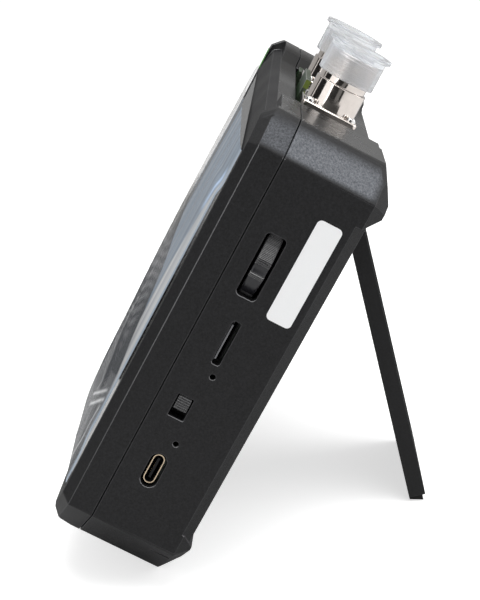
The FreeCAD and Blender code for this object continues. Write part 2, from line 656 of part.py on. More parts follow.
def make_rear_shell():
    """The deep back half with its bumpers, the stand's recess and every opening of the side."""
    body = new_body("rear_shell")
    start = "parting + seam / 2"
    pad(body, "y", start, "depth - back_bevel", case_outline())
    pad(body, "y", "depth - back_bevel", "depth", case_outline(), taper=-45.0)
    for end, back in (("top", TOP_BACK), ("bottom", LOW_BACK)):
        for sign in (-1, 1):
            corner = bumper(sign, end)
            base = f"{back} - bumper_bevel"
            pad(body, "y", "depth - back_bevel - cut_margin", base, corner)
            pad(body, "y", base, back, corner, taper=-45.0)
    # The lower bumpers reach past the bottom end, so that trimming them there leaves a square edge.
    margin = "cut_margin"
    below = f"0 - bumper_bevel - {margin}"
    slopes = [
        [(f"{TOP_BACK} - top_slope_run", "height"), (TOP_BACK, "height - top_slope_drop"),
         (f"{TOP_BACK} + {margin}", "height - top_slope_drop"),
         (f"{TOP_BACK} + {margin}", f"height + {margin}"),
         (f"{TOP_BACK} - top_slope_run", f"height + {margin}")],
        [(f"depth - back_bevel - 2 * {margin}", "0"), (f"depth - back_bevel - 2 * {margin}", below),
         (f"{LOW_BACK} + {margin}", below), (f"{LOW_BACK} + {margin}", "low_slope_rise"),
         (LOW_BACK, "low_slope_rise"), (LOW_EDGE_DEPTH, "0")],
    ]
    cut(body, "x", f"0 - {SIDE} - {margin}", f"{SIDE} + {margin}", *slopes)

    # The cavity, the rebate for the front shell's lip, and deeper pockets beside the stand.
    cut(body, "y", "parting", CAVITY_BACK, inner_outline("wall"))
    cut(body, "y", "parting", "parting + lip_reach + lip_gap", inner_outline("wall - lip_width - lip_gap"))
    pocket_in = f"{RECESS_HALF} + recess_rib"
    pocket_out = f"{INNER_SIDE} - pocket_edge"
    for sign in (-1, 1):
        inner, outer = f"{sign} * ({pocket_in})", f"{sign} * ({pocket_out})"
        cut(body, "y", f"{CAVITY_BACK} - {margin}", POCKET_BACK,
            rectangle(inner, outer, "pocket_low", "height - pocket_drop"))

    # Blocks under the ports, then the slot for the board's tabs and the holes of the ports.
    for sign in (-1, 1):
        middle = f"{sign} * port_spacing / 2"
        pad(body, "y", f"{RADIO_BACK} + slot_gap", "port_block_back",
            rectangle(f"{middle} - port_block_half", f"{middle} + port_block_half",
                      f"{FLOOR} - stub_tall", f"{FLOOR} - wall / 2"))
    cut(body, "y", "parting", f"{RADIO_BACK} + slot_gap",
        rectangle("0 - slot_half", "slot_half", f"{FLOOR} - wall - {margin}", f"{FLOOR} + {margin}"))
    for sign in (-1, 1):
        middle = f"{sign} * port_spacing / 2"
        cut_round(body, "z", f"{FLOOR} - stub_tall - {margin}", f"{FLOOR} + {margin}",
                  (middle, "port_depth", "stub / 2 + stub_gap"))
        places = [
            (f"{middle} {right} flange_screw_off", f"port_depth {back} flange_screw_off")
            for right in ("-", "+")
            for back in ("-", "+")
        ]
        cut_round(body, "z", f"{FLOOR} - flange_screw_long", f"{FLOOR} + {margin}",
                  *with_radius(places, "flange_screw / 2"))

    # Posts for the case screws and for the side board.
    pad_round(body, "y", RADIO_BACK, f"{CAVITY_BACK} + {margin}", *with_radius(CASE_SCREWS, "post / 2"))
    pad_round(body, "y", f"{CAVITY_BACK} - {margin}", f"{POCKET_BACK} + {margin}",
              *with_radius(CASE_SCREWS, "post / 2"))
    cut_round(body, "y", f"{RADIO_BACK} - {margin}", f"{TOP_BACK} + {margin}",
              *with_radius(CASE_SCREWS, "case_screw / 2 + hole_gap"))
    cut_round(body, "y", "case_seat", f"{TOP_BACK} + {margin}",
              *with_radius(CASE_SCREWS, "case_head / 2 + case_head_gap"))
    pad_round(body, "y", SIDE_BOARD_BACK, f"{POCKET_BACK} + {margin}",
              *with_radius(SIDE_SCREWS, "board_boss / 2"))
    cut_round(body, "y", f"{SIDE_BOARD_BACK} - {margin}", f"{SIDE_BOARD_BACK} + board_screw_long",
              *with_radius(SIDE_SCREWS, "board_screw / 2"))

    # The stand's recess with its pin holes, and the finger scoop below it.
    low = f"hinge_level - stand_length - stand_thick / 2 * tan({FOOT_SLANT}) - stand_end_gap"
    stop = "hinge_level + heel * cos(open_angle) + stand_thick / 2 * sin(open_angle) + stop_gap"
    cut(body, "y", RECESS_FLOOR, f"{TOP_BACK} + {margin}",
        rectangle(f"0 - {RECESS_HALF}", RECESS_HALF, low, stop))
    cut(body, "y", "depth - scoop_deep", f"{TOP_BACK} + {margin}",
        rectangle("0 - scoop_half", "scoop_half", f"{low} - scoop_tall", f"{low} + {margin}"))
    reach = f"{RECESS_HALF} + pin_outside"
    cut_round(body, "x", f"0 - ({reach})", reach, (HINGE_DEPTH, "hinge_level", "hinge_pin / 2"))

    # Openings of the right-hand side.
    inside, outside = f"{INNER_SIDE} - {margin}", f"{SIDE} + {margin}"
    stadium(body, cut, cut_round, inside, outside, ("usb_depth", "usb_level"),
            "usb_wide / 2 + usb_gap", "usb_thin / 2 + usb_gap")
    rounded_window(body, inside, outside, ("side_front - card_thin / 2", "card_level"),
                   "card_window_wide / 2", "card_window_thin / 2", "card_window_round")
    rounded_window(body, inside, outside, ("switch_depth", "switch_level"),
                   "switch_window_long / 2", "switch_window_thin / 2", "switch_window_round")
    rounded_window(body, inside, outside, ("jog_depth", "jog_level"),
                   "jog_slot_long / 2", "jog_slot_thin / 2", "jog_slot_round")
    cut_round(body, "x", inside, outside,
              ("pinhole_depth", "reset_level", "pinhole / 2"),
              ("pinhole_depth", "light_level", "pinhole / 2"))


def make_display():
    """Cover glass, gasket, panel, ribbon and the protective film with its tab."""
    box_node("touch_glass", (f"0 - {GLASS_HALF}", GLASS_HALF), ("glass_inset", GLASS_BACK),
             ("glass_low", "height - glass_top"))
    body = new_body("display_gasket")
    outer = "glass_ledge + gasket_gap"
    inner = "glass_ledge + gasket_gap + gasket_width"
    pad(body, "y", GLASS_BACK, PANEL_FRONT,
        around("0", f"{GLASS_HALF} - ({outer})", GLASS_MIDDLE, f"{GLASS_HALF_TALL} - ({outer})"),
        around("0", f"{GLASS_HALF} - ({inner})", GLASS_MIDDLE, f"{GLASS_HALF_TALL} - ({inner})"))
    panel_half = f"({GLASS_HALF} - panel_side)"
    box_node("display_panel", (f"0 - {panel_half}", panel_half), (PANEL_FRONT, PANEL_BACK),
             ("glass_low + panel_end", "height - glass_top - panel_end"))
    body = new_body("display_ribbon")
    fold = [
        (PANEL_BACK, "ribbon_height - ribbon_land"),
        (f"{PANEL_BACK} + ribbon_thick", "ribbon_height - ribbon_land"),
        (f"{PANEL_BACK} + ribbon_thick", "ribbon_height"),
        ("radio_front", "ribbon_height"),
        ("radio_front", "ribbon_height + ribbon_land"),
        ("radio_front - ribbon_thick", "ribbon_height + ribbon_land"),
        ("radio_front - ribbon_thick", "ribbon_height + ribbon_thick"),
        (PANEL_BACK, "ribbon_height + ribbon_thick"),
    ]
    pad(body, "x", "0 - ribbon_width / 2", "ribbon_width / 2", fold)

    # The film is a slice of a very wide tube, so it arches off the glass between its two edges.
    radius = f"(({FILM_HALF} ^ 2 + film_lift ^ 2) / (2 * film_lift))"
    level = f"(0 - film_seat - film_lift + {radius})"
    skins = []
    for name, extra in (("FilmOuter", "film_thick"), ("FilmInner", "0")):
        tube = doc.addObject("Part::Cylinder", name)
        tube.setExpression("Radius", bound(f"{radius} + {extra}"))
        tube.setExpression("Height", bound(f"{FILM_HIGH} - film_low"))
        tube.setExpression("Placement.Base.y", bound(level))
        tube.setExpression("Placement.Base.z", bound("film_low"))
        skins.append(tube)
    skin = doc.addObject("Part::Cut", "FilmSkin")
    skin.Base, skin.Tool = skins
    window = doc.addObject("Part::Box", "FilmWindow")
    window.setExpression("Length", bound(f"2 * {FILM_HALF}"))
    window.setExpression("Width", bound("2 * (film_lift + film_thick)"))
    window.setExpression("Height", bound(f"{FILM_HIGH} - film_low"))
    window.setExpression("Placement.Base.x", bound(f"0 - {FILM_HALF}"))
    window.setExpression("Placement.Base.y",
                         bound("0 - 2 * (film_lift + film_thick) - film_seat + film_thick"))
    window.setExpression("Placement.Base.z", bound("film_low"))
    film = doc.addObject("Part::Common", "protective_film")
    film.Base = skin
    film.Tool = window
    film.Label = "protective_film"
    NODES["protective_film"] = film
    tab_left = f"pull_tab_side - {FILM_HALF}"
    box_node("film_pull_tab", (tab_left, f"{tab_left} + pull_tab_width"),
             ("0 - film_seat - film_thick", "0 - film_seat"), (FILM_HIGH, f"{FILM_HIGH} + pull_tab_height"))


def make_boards():
    """The radio board with its tabs and shields, the side board and what joins and feeds them."""
    body = new_body("radio_board")
    top = f"{FLOOR} - radio_inset"
    right = inner_outline("radio_inset")[:4] + [
        ("side_tab_far", top),
        ("side_tab_far", f"{FLOOR} + side_tab_rise"),
        ("side_tab_near", f"{FLOOR} + side_tab_rise"),
        ("side_tab_near", top),
        ("middle_tab_half", top),
        ("middle_tab_half", f"{FLOOR} + middle_tab_rise"),
    ]
    left = [(f"-1 * ({across})", up) for across, up in reversed(right)]
    pad(body, "y", "radio_front", RADIO_BACK, right + left)
    cut_round(body, "y", "radio_front - cut_margin", f"{RADIO_BACK} + cut_margin",
              *with_radius(CASE_SCREWS, "case_screw / 2 + hole_gap"))
    cut_round(body, "y", "radio_front - cut_margin", f"{RADIO_BACK} + cut_margin",
              *with_radius(BOARD_SCREWS, "board_screw / 2 + hole_gap"))

    for name, sign in (("rf_shield_left", -1), ("rf_shield_right", 1)):
        can = new_body(name)
        middle = f"{sign} * ({SIDE} - shield_side)"
        pad(can, "y", RADIO_BACK, f"{RADIO_BACK} + shield_depth",
            around(middle, "shield_width / 2", "shield_level", "shield_height / 2"))
        cut(can, "y", RADIO_BACK, f"{RADIO_BACK} + shield_depth - shield_sheet",
            around(middle, "shield_width / 2 - shield_sheet",
                   "shield_level", "shield_height / 2 - shield_sheet"))

    board = new_body("side_board")
    outline = [
        (SIDE_BOARD_INNER, "side_low"),
        (SIDE_BOARD_EDGE, "side_low"),
        (SIDE_BOARD_EDGE, "side_step"),
        (f"{SIDE} - side_neck", "side_step"),
        (f"{SIDE} - side_neck", "side_high"),
        (SIDE_BOARD_INNER, "side_high"),
    ]
    pad(board, "y", "side_front", SIDE_BOARD_BACK, outline)
    notches = [
        rectangle(f"{INNER_SIDE} - {name}_gap - {name}_deep - notch_gap", f"{SIDE_BOARD_EDGE} + cut_margin",
                  f"{name}_level - {name}_half - notch_gap", f"{name}_level + {name}_half + notch_gap")
        for name in ("reset", "light")
    ]
    cut(board, "y", "side_front - cut_margin", f"{SIDE_BOARD_BACK} + cut_margin", *notches)
    cut_round(board, "y", "side_front - cut_margin", f"{SIDE_BOARD_BACK} + cut_margin",
              *with_radius(SIDE_SCREWS, "board_screw / 2 + hole_gap"))
    box_node("board_link", (f"{SIDE} - link_inner", f"{SIDE} - link_inner + link_width"),
             (RADIO_BACK, "side_front"), ("link_low", "link_low + link_tall"))

    pack = box_node("battery_pack", ("0 - battery_left", "battery_wide - battery_left"),
                    ("battery_front", "battery_front + battery_thick"),
                    ("battery_low", "battery_low + battery_tall"))
    round_edges(pack, "z", "battery_round")
    box_node("battery_pad", ("0 - pad_half", "pad_half"), ("battery_front + battery_thick", CAVITY_BACK),
             ("pad_low", "pad_low + pad_tall"))
    wire = new_body("battery_lead")
    pad_round(wire, "x", "battery_wide - battery_left", SIDE_BOARD_INNER,
              (f"{SIDE_BOARD_BACK} - wire / 2", "wire_level", "wire / 2"))


def make_ports():
    """Both ports with their insulators, contacts, screws and dust caps."""
    for number, sign in ((1, 1), (2, -1)):
        middle = f"{sign} * port_spacing / 2"
        at = (middle, "port_depth")
        corners = [
            (f"{middle} {right} flange_screw_off", f"port_depth {back} flange_screw_off")
            for right in ("-", "+")
            for back in ("-", "+")
        ]
        flange_top = f"{FLOOR} + flange_thick"

        port = new_body(f"port_{number}_connector")
        pad(port, "z", FLOOR, flange_top, around(middle, "flange / 2", "port_depth", "flange / 2"))
        pad_round(port, "z", flange_top, f"{flange_top} + barrel_tall", (*at, "barrel / 2"))
        pad_round(port, "z", f"{flange_top} + barrel_tall", THREAD_LOW, (*at, "neck / 2"))
        pad_round(port, "z", THREAD_LOW, PORT_TOP, (*at, "thread / 2"))
        pad_round(port, "z", f"{FLOOR} - stub_tall", FLOOR, (*at, "stub / 2"))
        cut_round(port, "z", f"{FLOOR} - stub_tall - cut_margin", PORT_TOP, (*at, "insulator / 2"))
        cut_round(port, "z", f"{PORT_TOP} - mouth_deep", f"{PORT_TOP} + cut_margin", (*at, "mouth / 2"))
        cut_round(port, "z", f"{FLOOR} - cut_margin", f"{flange_top} + cut_margin",
                  *with_radius(corners, "flange_screw / 2 + hole_gap"))

        ring = new_body(f"port_{number}_insulator")
        pad_round(ring, "z", f"{FLOOR} - stub_tall", f"{PORT_TOP} - mouth_deep", (*at, "insulator / 2"))
        cut_round(ring, "z", f"{FLOOR} - stub_tall - cut_margin", f"{PORT_TOP}", (*at, "lead / 2"))

        pin = new_body(f"port_{number}_contact")
        lead_level = f"{FLOOR} - stub_tall - lead_drop"
        pad_round(pin, "z", lead_level, f"{PORT_TOP} - mouth_deep", (*at, "lead / 2"))
        pad_round(pin, "z", f"{PORT_TOP} - mouth_deep", f"{PORT_TOP} - contact_below", (*at, "contact / 2"))
        cut_round(pin, "z", f"{PORT_TOP} - contact_below - contact_bore_deep", PORT_TOP,
                  (*at, "contact_bore / 2"))
        pad_round(pin, "y", RADIO_BACK, "port_depth", (middle, f"{lead_level} + lead / 2", "lead / 2"))

        new_screws(f"port_{number}_flange_screws", "z", corners, flange_top,
                   "flange_head", "flange_head_tall", "flange_screw", "flange_screw_long + flange_thick")

        cap = new_body(f"port_{number}_cap")
        roof = f"{PORT_TOP} + cap_seat"
        top = f"{PORT_TOP} + cap_seat + cap_roof"
        rim = f"{PORT_TOP} - cap_cover"
        pad_round(cap, "z", rim, top, (*at, "thread / 2 + cap_gap + cap_wall"))
        brim_low = f"{top} + cap_dish_deep - cap_brim_thick"
        pad_round(cap, "z", brim_low, f"{top} + cap_dish_deep", (*at, "cap_brim / 2"))
        cut_round(cap, "z", f"{rim} - cut_margin", roof, (*at, "thread / 2 + cap_gap"))
        cut_round(cap, "z", top, f"{top} + cap_dish_deep + cut_margin", (*at, "cap_dish / 2"))


# A cylinder grows along +Z, so a rod that lies along y is turned from +Z to +Y.
ALONG_Y = FreeCAD.Placement(FreeCAD.Vector(), FreeCAD.Rotation(FreeCAD.Vector(1, 0, 0), -90))


def new_screws(name, axis, places, seat, head, head_tall, shank, shank_long, inward=-1):
    """A group of equal screws: heads on their seat, shanks towards one end of the axis."""
    solids = []
    for number, place in enumerate(places, start=1):
        parts = []
        head_start = seat if inward < 0 else f"{seat} - ({head_tall})"
        shank_start = f"{seat} - ({shank_long})" if inward < 0 else seat
        for kind, start, radius, length in (
            ("Head", head_start, f"{head} / 2", head_tall),
            ("Shank", shank_start, f"{shank} / 2", shank_long),
        ):
            rod = doc.addObject("Part::Cylinder", f"{name}_{kind}{number}")
            rod.setExpression("Radius", bound(radius))
            rod.setExpression("Height", bound(length))
            across, up = place
            if axis == "y":
                rod.Placement = ALONG_Y
                levels = (across, start, up)
            else:
                levels = (across, up, start)
            for key, level in zip("xyz", levels):
                rod.setExpression(f"Placement.Base.{key}", bound(level))
            parts.append(rod)
        screw = doc.addObject("Part::MultiFuse", f"{name}_{number}")
        screw.Shapes = parts
        solids.append(screw)
    group = doc.addObject("Part::Compound", name)
    group.Links = solids
    group.Label = name
    NODES[name] = group


def make_fasteners():
    """Case screws with their inserts, and the screws of both boards."""
    new_screws("case_screws", "y", CASE_SCREWS, "case_seat", "case_head", "case_head_tall",
               "case_screw", "case_seat - radio_front + insert_long")
    sleeves = []
    for number, (across, up) in enumerate(CASE_SCREWS, start=1):
        pair = []
        for kind, radius in (("Outside", "insert / 2"), ("Inside", "case_screw / 2")):
            rod = doc.addObject("Part::Cylinder", f"insert_{kind}{number}")
            rod.Placement = ALONG_Y
            rod.setExpression("Radius", bound(radius))
            rod.setExpression("Height", bound("insert_long"))
            for key, level in zip("xyz", (across, "radio_front - insert_long", up)):
                rod.setExpression(f"Placement.Base.{key}", bound(level))
            pair.append(rod)
        sleeve = doc.addObject("Part::Cut", f"insert_{number}")
        sleeve.Base, sleeve.Tool = pair
        sleeves.append(sleeve)
    group = doc.addObject("Part::Compound", "threaded_inserts")
    group.Links = sleeves
    group.Label = "threaded_inserts"
    NODES["threaded_inserts"] = group
    new_screws("board_screws", "y", BOARD_SCREWS, RADIO_BACK, "board_head", "board_head_tall",
               "board_screw", "board_screw_long + board_thick")
    new_screws("side_board_screws", "y", SIDE_SCREWS, "side_front", "board_head", "board_head_tall",
               "board_screw", "board_screw_long + board_thick", inward=1)


def make_side_parts():
    """Sockets, switches and lights of the right-hand side, and the label on it."""
    usb = new_body("usb_c_shell")
    mouth = f"{SIDE} - usb_inset"
    tail = f"{SIDE} - usb_inset - usb_long"
    at = ("usb_depth", "usb_level")
    stadium(usb, pad, pad_round, tail, mouth, at, "usb_wide / 2", "usb_thin / 2")
    stadium(usb, cut, cut_round, f"{tail} + usb_sheet", f"{mouth} + cut_margin", at,
            "usb_wide / 2 - usb_sheet", "usb_thin / 2 - usb_sheet")
    tongue = new_body("usb_c_tongue")
    pad(tongue, "x", f"{tail} + usb_sheet", f"{mouth} - tongue_inset",
        around("usb_depth", "tongue_thin / 2", "usb_level", "tongue_wide / 2"))

    card = new_body("microsd_socket")
    card_mouth = f"{INNER_SIDE} - 2 * notch_gap"
    pad(card, "x", f"{card_mouth} - card_long", card_mouth,
        around("side_front - card_thin / 2", "card_thin / 2", "card_level", "card_wide / 2"))
    slot_depth = "side_front - card_thin + card_sheet + card_slot_thin / 2"
    cut(card, "x", f"{card_mouth} - card_long + card_sheet", f"{card_mouth} + cut_margin",
        around(slot_depth, "card_slot_thin / 2", "card_level", "card_slot_wide / 2"))
    pad(card, "x", card_mouth, f"{card_mouth} + card_lip_reach",
        rectangle("side_front - card_thin", "side_front - card_thin + card_sheet",
                  "card_level - card_lip_wide / 2", "card_level + card_lip_wide / 2"))

    switch = new_body("power_switch_body")
    face = f"{INNER_SIDE} - 2 * notch_gap"
    half = "(side_front - switch_depth)"
    pad(switch, "x", f"{face} - switch_deep", face,
        around("switch_depth", half, "switch_level", "switch_long / 2"))
    cut(switch, "x", f"{face} - knob_sink - knob_floor", f"{face} + cut_margin",
        around("switch_depth", "switch_window_thin / 2", "switch_level", "switch_window_long / 2"))
    knob = new_body("power_knob")
    top = "switch_level + switch_window_long / 2 - knob_end_gap"
    low = "switch_level - switch_window_long / 2 + knob_end_gap + switch_travel"
    pad(knob, "x", f"{face} - knob_sink", f"{SIDE} + knob_proud",
        rectangle("switch_depth - switch_window_thin / 2 + knob_gap",
                  "switch_depth + switch_window_thin / 2 - knob_gap", low, top))

    reset = new_body("reset_switch_body")
    reset_face = f"{INNER_SIDE} - reset_gap"
    pad(reset, "x", f"{reset_face} - reset_deep", reset_face,
        around("pinhole_depth", "reset_thick / 2", "reset_level", "reset_half"))
    cut_round(reset, "x", f"{reset_face} - plunger_in - reset_travel - plunger_gap",
              f"{reset_face} + cut_margin", ("pinhole_depth", "reset_level", "plunger / 2 + plunger_gap"))
    plunger = new_body("reset_plunger")
    pad_round(plunger, "x", f"{reset_face} - plunger_in", f"{reset_face} + plunger_out",
              ("pinhole_depth", "reset_level", "plunger / 2"))
    light = new_body("charge_light")
    light_face = f"{INNER_SIDE} - light_gap"
    pad(light, "x", f"{light_face} - light_deep", light_face,
        around("pinhole_depth", "light_thick / 2", "light_level", "light_half"))

    label = new_body("side_label")
    pad(label, "x", SIDE, f"{SIDE} + label_thick",
        around("label_depth", "label_wide / 2", "label_level", "label_long / 2"))
    round_edges(label, "x", "label_round")


def make_jog():
    """The jog wheel on its axle, in a yoke that slides in the frame when the wheel is pressed."""
    at = (WHEEL_SIDE, "jog_level")
    wheel = new_body("jog_wheel")
    low, high = "jog_depth - jog_thick / 2", "jog_depth + jog_thick / 2"
    pad_round(wheel, "y", low, high, (*at, "jog_radius"))
    cut_round(wheel, "y", f"{low} - cut_margin", f"{high} + cut_margin", (*at, "axle / 2 + axle_gap"))

    yoke = new_body("jog_yoke")
    half_gap = "(jog_thick / 2 + yoke_gap)"
    half_out = "(jog_thick / 2 + yoke_gap + yoke_arm)"
    web_out = f"({WHEEL_SIDE} - jog_radius - yoke_gap)"
    web_in = f"({WHEEL_SIDE} - jog_radius - yoke_gap - yoke_web)"
    pad(yoke, "y", f"jog_depth - {half_out}", f"jog_depth + {half_out}",
        rectangle(web_in, f"{WHEEL_SIDE} + yoke_nose", "jog_level - yoke_half", "jog_level + yoke_half"))
    cut(yoke, "y", f"jog_depth - {half_gap}", f"jog_depth + {half_gap}",
        rectangle(web_out, f"{WHEEL_SIDE} + yoke_nose + cut_margin",
                  "jog_level - yoke_half - cut_margin", "jog_level + yoke_half + cut_margin"))
    cut_round(yoke, "y", f"jog_depth - {half_out} - cut_margin", f"jog_depth + {half_out} + cut_margin",
              (*at, "axle / 2"))
    axle = new_body("jog_axle")
    pad_round(axle, "y", f"jog_depth - {half_out}", f"jog_depth + {half_out}", (*at, "axle / 2"))

    frame = new_body("jog_frame")
    inner = f"({half_out} + yoke_gap)"
    outer = f"({half_out} + yoke_gap + frame_sheet)"
    back_in = f"({web_in} - frame_free - frame_web)"
    back_out = f"({web_in} - frame_free)"
    end = f"({back_out} + frame_reach)"
    pad(frame, "y", f"jog_depth - {outer}", f"jog_depth + {outer}",
        rectangle(back_in, end, "jog_level - frame_half", "jog_level + frame_half"))
    # The channel for the yoke, then a wider one for the wheel between the side guides.
    cut(frame, "y", f"jog_depth - {inner}", f"jog_depth + {inner}",
        rectangle(back_out, f"{end} + cut_margin", "jog_level - yoke_half - yoke_gap",
                  "jog_level + yoke_half + yoke_gap"))
    cut(frame, "y", f"jog_depth - {half_gap} - yoke_gap", f"jog_depth + {half_gap} + yoke_gap",
        rectangle(f"{web_out} - jog_press - yoke_gap", f"{end} + cut_margin",
                  "jog_level - frame_half - cut_margin", "jog_level + frame_half + cut_margin"))
    pad(frame, "y", "side_front - frame_sheet", "side_front",
        rectangle(f"{back_in} - frame_foot", f"{back_in} + frame_web / 2", "jog_level - frame_half",
                  "jog_level + frame_half"))


def make_stand():
    """The stand, drawn closed: plate with its hollow and heel, rubber foot and hinge pins."""
    plate = new_body("stand_plate")
    inside, outside = f"{HINGE_DEPTH} - stand_thick / 2", f"{HINGE_DEPTH} + stand_thick / 2"
    end = "hinge_level - stand_length + foot_pad"
    half = "(stand_width / 2)"
    profile = rectangle(inside, outside, end, "hinge_level")
    pad(plate, "x", f"0 - {half}", half, profile)
    # The knuckle is round about the hinge on its inner side and square on its outer side.
    pad_round(plate, "x", f"0 - {half}", half, (HINGE_DEPTH, "hinge_level", "stand_thick / 2"))
    pad(plate, "x", f"0 - {half}", half,
        rectangle(HINGE_DEPTH, outside, "hinge_level", "hinge_level + heel"))
    cut(plate, "x", f"0 - {half} - cut_margin", f"{half} + cut_margin",
        rectangle(f"{inside} - cut_margin", f"{outside} + cut_margin", "hinge_level + heel",
                  "hinge_level + stand_thick"))
    cut(plate, "y", f"{outside} - stand_hollow", f"{outside} + cut_margin",
        rectangle(f"0 - {half} + stand_rim", f"{half} - stand_rim", f"{end} + stand_rim",
                  "hinge_level - stand_thick - stand_rim"))
    for low, high in ((f"0 - {half} - cut_margin", f"0 - {half} + pin_inside"),
                      (f"{half} - pin_inside", f"{half} + cut_margin")):
        cut_round(plate, "x", low, high, (HINGE_DEPTH, "hinge_level", "hinge_pin / 2 + pin_gap"))

    foot = new_body("stand_foot_pad")
    tip = "hinge_level - stand_length"
    slant = f"tan({FOOT_SLANT})"
    sole = [
        (inside, end),
        (f"{outside} - foot_edge", end),
        (f"{outside} - foot_edge", f"{tip} - (stand_thick / 2 - foot_edge) * {slant}"),
        (inside, f"{tip} + stand_thick / 2 * {slant}"),
    ]
    pad(foot, "x", f"0 - {half} + foot_side", f"{half} - foot_side", sole)

    for name, sign in (("hinge_pin_left", -1), ("hinge_pin_right", 1)):
        pin = new_body(name)
        near, far = f"{half} - pin_inside", f"{RECESS_HALF} + pin_outside"
        low, high = (near, far) if sign > 0 else (f"0 - ({far})", f"0 - ({near})")
        pad_round(pin, "x", low, high, (HINGE_DEPTH, "hinge_level", "hinge_pin / 2"))


for make in (make_front_shell, make_rear_shell, make_display, make_boards, make_ports, make_fasteners,
             make_side_parts, make_jog, make_stand):
    make()
doc.recompute()

# The rest position: the stand swings open about its pins, then everything leans back.
X_AXIS = FreeCAD.Vector(1, 0, 0)
hinge = FreeCAD.Vector(0, value(HINGE_DEPTH), value("hinge_level"))
opened = FreeCAD.Placement(FreeCAD.Vector(), FreeCAD.Rotation(X_AXIS, value("open_angle")), hinge)
leaned = FreeCAD.Placement(FreeCAD.Vector(), FreeCAD.Rotation(X_AXIS, -value(LEAN)))
STAND = ("stand_plate", "stand_foot_pad")


def rest_placement(name, base):
    """Where a node drawn upright goes at rest."""
    return base.multiply(opened) if name in STAND else base


span = FreeCAD.BoundBox()
for name, node in NODES.items():
    shape = node.Shape.copy()
    shape.Placement = rest_placement(name, leaned)
    span.add(shape.optimalBoundingBox(False))
lift = FreeCAD.Placement(FreeCAD.Vector(0, -span.Center.y, -span.ZMin), FreeCAD.Rotation())
for name, node in NODES.items():
    node.Placement = rest_placement(name, lift.multiply(leaned))
doc.recompute()

faults = [item.Label for item in doc.Objects if "Invalid" in item.State or "Error" in item.State]
faults += [name for name, node in NODES.items() if node.Shape.isNull() or not node.Shape.isValid()]
if faults:
    raise RuntimeError(f"failed objects: {faults}")
print(f"lean {value(LEAN):.2f} degrees, {len(NODES)} nodes")
print(f"box {span.XLength:.1f} x {span.YLength:.1f} x {span.ZLength:.1f} mm")

os.makedirs("parts", exist_ok=True)
for name, node in NODES.items():
    node.Shape.exportStep(f"parts/{name}.step")
    print(f"{name}: {len(node.Shape.Solids)} solid, {node.Shape.Volume:.0f} mm3")
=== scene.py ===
# %% [markdown]
# # A hand-held antenna analyzer
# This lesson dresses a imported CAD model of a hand-held antenna analyzer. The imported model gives
# the frame: every node already has its true size and place, so nothing here is moved or resized.
# We only add what a solid modeller leaves out, such as threads, ribs, wrinkles and finishes.

import json
import math

import bmesh
import bpy
import numpy as np
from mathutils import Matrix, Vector


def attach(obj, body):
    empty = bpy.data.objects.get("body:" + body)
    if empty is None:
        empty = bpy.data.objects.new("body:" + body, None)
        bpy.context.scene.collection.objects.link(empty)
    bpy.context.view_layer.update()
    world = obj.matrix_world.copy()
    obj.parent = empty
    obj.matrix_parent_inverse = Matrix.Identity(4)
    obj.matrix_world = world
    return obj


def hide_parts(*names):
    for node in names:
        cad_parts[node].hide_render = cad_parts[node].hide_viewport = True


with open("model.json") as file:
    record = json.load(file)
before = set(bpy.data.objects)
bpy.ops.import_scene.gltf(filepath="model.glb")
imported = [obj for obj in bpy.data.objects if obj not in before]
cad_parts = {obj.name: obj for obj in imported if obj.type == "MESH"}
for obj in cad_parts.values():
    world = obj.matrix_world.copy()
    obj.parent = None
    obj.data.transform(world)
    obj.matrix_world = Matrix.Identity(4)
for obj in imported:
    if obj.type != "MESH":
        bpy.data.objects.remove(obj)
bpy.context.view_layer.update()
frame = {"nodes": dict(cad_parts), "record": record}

# %% [markdown]
# ## An upright frame of our own
# The object leans back on its stand, so its faces are square to none of the world's axes. Shapes
# are far easier to write in the object's own upright frame: x to the right, y from the display to
# the back, z up the case, in millimetres. The lean is read from the direction of a port, and the
# zero of y and z from the front shell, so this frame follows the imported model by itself.

# %% the upright frame
mounts = {mount["name"]: mount for mount in frame["record"]["mounts"]}
port_axis = mounts["port_1_thread"]["axis"]
lean = math.atan2(port_axis[1], port_axis[2])
LEAN = np.array([
    [1.0, 0.0, 0.0],
    [0.0, math.cos(lean), math.sin(lean)],
    [0.0, -math.sin(lean), math.cos(lean)],
])


def read_array(items, key, width=3, kind=float):
    """One property of every item of a mesh, as an array with a row for each item."""
    flat = np.zeros(len(items) * width, kind)
    items.foreach_get(key, flat)
    return flat.reshape(-1, width) if width > 1 else flat


leaned_front = read_array(frame["nodes"]["front_shell"].data.vertices, "co") @ LEAN
ORIGIN = np.array([0.0, leaned_front[:, 1].min(), leaned_front[:, 2].min()])


def place(points):
    """Upright millimetres to row metres: scaled, shifted to the case's zero, turned by the lean."""
    return (np.asarray(points, float) / 1000.0 + ORIGIN) @ LEAN.T


def to_upright(points):
    """Row metres to upright millimetres, the other way round."""
    return (points @ LEAN - ORIGIN) * 1000.0


def upright_box(node):
    """A CAD node's lowest and highest corner, middle and half size, in upright millimetres."""
    own = to_upright(read_array(frame["nodes"][node].data.vertices, "co"))
    low, high = own.min(0), own.max(0)
    return low, high, (low + high) / 2.0, (high - low) / 2.0


def add_object(name, data):
    """A new object of the scene that shows a mesh, a lamp or a camera."""
    thing = bpy.data.objects.new(name, data)
    bpy.context.scene.collection.objects.link(thing)
    return thing


print("lean %.2f degrees" % math.degrees(lean))
for name in ("front_shell", "rear_shell"):
    print(name, np.round(upright_box(name)[3] * 2.0, 1))

# %% [markdown]
# ## The camera
# A long lens a little above and just behind the right-hand side looks along the display, which is
# then nearly edge-on. The camera is described as a surveyor would: where it stands, which way it
# looks round and down, and how strongly it magnifies. A vertical sensor 30 mm tall stands for an
# image 600 pixels tall, so a focal length in pixels becomes millimetres by a factor of 30 / 600.

